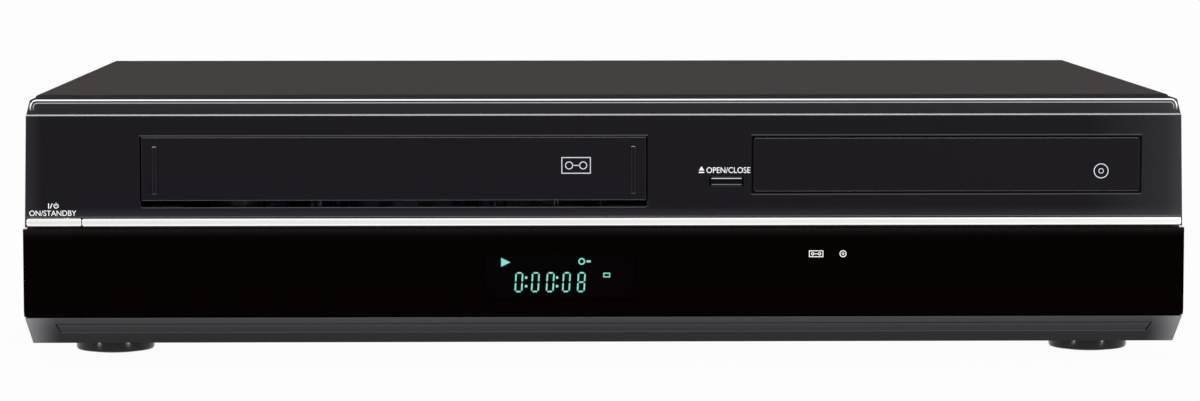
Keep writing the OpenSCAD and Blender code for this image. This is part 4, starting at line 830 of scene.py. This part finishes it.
def make_signs():
    """Pictograms of a cassette and a disc, in the places where the photograph has format signs."""
    make_tape_sign("flap_sign", -10.9, 74.5, 11.0, 6.2, 0.32, FLAP_Y, PRINT_COOL, "cassette_flap")
    make_disc_sign("tray_sign", 186.0, 72.2, 2.8, 0.32, TRAY_Y, PRINT_COOL, "tray")
    make_tape_sign("door_sign_tape", 79.1, 41.2, 5.4, 2.5, 0.3, DOOR_PRINT_Y, PRINT, "door")
    make_disc_sign("door_sign_disc", 89.2, 41.2, 1.3, 0.3, DOOR_PRINT_Y, PRINT, "door")


TURNS = 28                       # sides of a turned piece


def lathe_y(name, profile, x, z, mat):
    """A turned piece about an axis along Y: profile is a closed list of (radius, y)."""
    bm = bmesh.new()
    rings = []
    for i in range(TURNS):
        a = 2 * math.pi * i / TURNS
        rings.append([bm.verts.new((x + r * math.cos(a), y, z + r * math.sin(a))) for r, y in profile])
    for here, there in zip(rings, rings[1:] + rings[:1]):
        for j in range(len(profile)):
            bm.faces.new((here[j - 1], here[j], there[j], there[j - 1]))
    mesh = mesh_from(bm, name)
    for p in mesh.polygons:
        p.use_smooth = True
    obj = add_piece(name, mesh, mat, "root")
    obj.modifiers.new("edges", "EDGE_SPLIT").split_angle = math.radians(40)


# Section of the lip: how far behind the flap's front, and above its upper edge, in millimetres
LIP_SECTION = ((1.8, -1.2), (3.1, -1.2), (3.1, 1.4), (2.55, 1.4), (2.55, -0.5), (1.8, -0.5))


def make_flap_lip():
    """A thin lip behind the flap's upper edge, which shuts the gap above it to light."""
    low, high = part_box("cassette_door")
    top = low.z + FLAP_H
    bm = bmesh.new()
    near, far = [[bm.verts.new((x, FLAP_Y + back * MM, top + up * MM)) for back, up in LIP_SECTION]
                 for x in (low.x + 2.6 * MM, high.x - 9.5 * MM)]
    bm.faces.new(near)
    bm.faces.new(far)
    for i in range(len(LIP_SECTION)):
        bm.faces.new((near[i - 1], near[i], far[i], far[i - 1]))
    add_piece("flap_lip", mesh_from(bm, "flap_lip"), BASKET, "cassette_flap")


INSERTS = {
    "yellow": material("insert_yellow", srgb(226, 186, 40), 0.45),
    "white": material("insert_white", srgb(222, 222, 216), 0.45),
    "red": material("insert_red", srgb(176, 34, 30), 0.45),
    "green": material("insert_green", srgb(40, 132, 70), 0.45),
    "blue": material("insert_blue", srgb(38, 74, 158), 0.45),
    "black": material("insert_black", srgb(30, 30, 30), 0.45),
}


# Where the phono sockets stand, in millimetres: the rear rows by their height, and the front row
REAR_ROWS = {48: ("yellow", "white", "red", "green", "blue", "red"),
             30: ("yellow", "white", "red", "yellow", "white", "red")}
REAR_START, REAR_STEP = 44, 18
FRONT_ROW = ((132, "yellow"), (150, "white"), (168, "red"))
FRONT_ROW_Z = 34


def make_inserts():
    """The coloured rings inside the phono sockets, rear and front."""
    outer, inner, deep, recess = 2.94 * MM, 1.55 * MM, 4.5 * MM, 0.6 * MM
    rear_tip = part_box("rear_jacks")[1].y - recess
    profile = [(inner, rear_tip - deep), (outer, rear_tip - deep), (outer, rear_tip), (inner, rear_tip)]
    for z, colours in REAR_ROWS.items():
        for i, colour in enumerate(colours):
            x = REAR_START + REAR_STEP * i
            lathe_y(f"insert_{z}_{i + 1}", profile, x * MM, z * MM, INSERTS[colour])
    front_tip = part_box("front_jacks")[0].y + recess
    profile = [(inner, front_tip), (outer, front_tip), (outer, front_tip + deep),
               (inner, front_tip + deep)]
    for x, colour in FRONT_ROW:
        lathe_y(f"front_insert_{x}", profile, x * MM, FRONT_ROW_Z * MM, INSERTS[colour])


make_camera()
make_world()
make_floor()
make_lamps()
tone_all()
dress_all()
round_all()
make_display()
make_front_marks()
make_signs()
make_inserts()
make_flap_lip()

bpy.context.scene.view_settings.view_transform = "Standard"
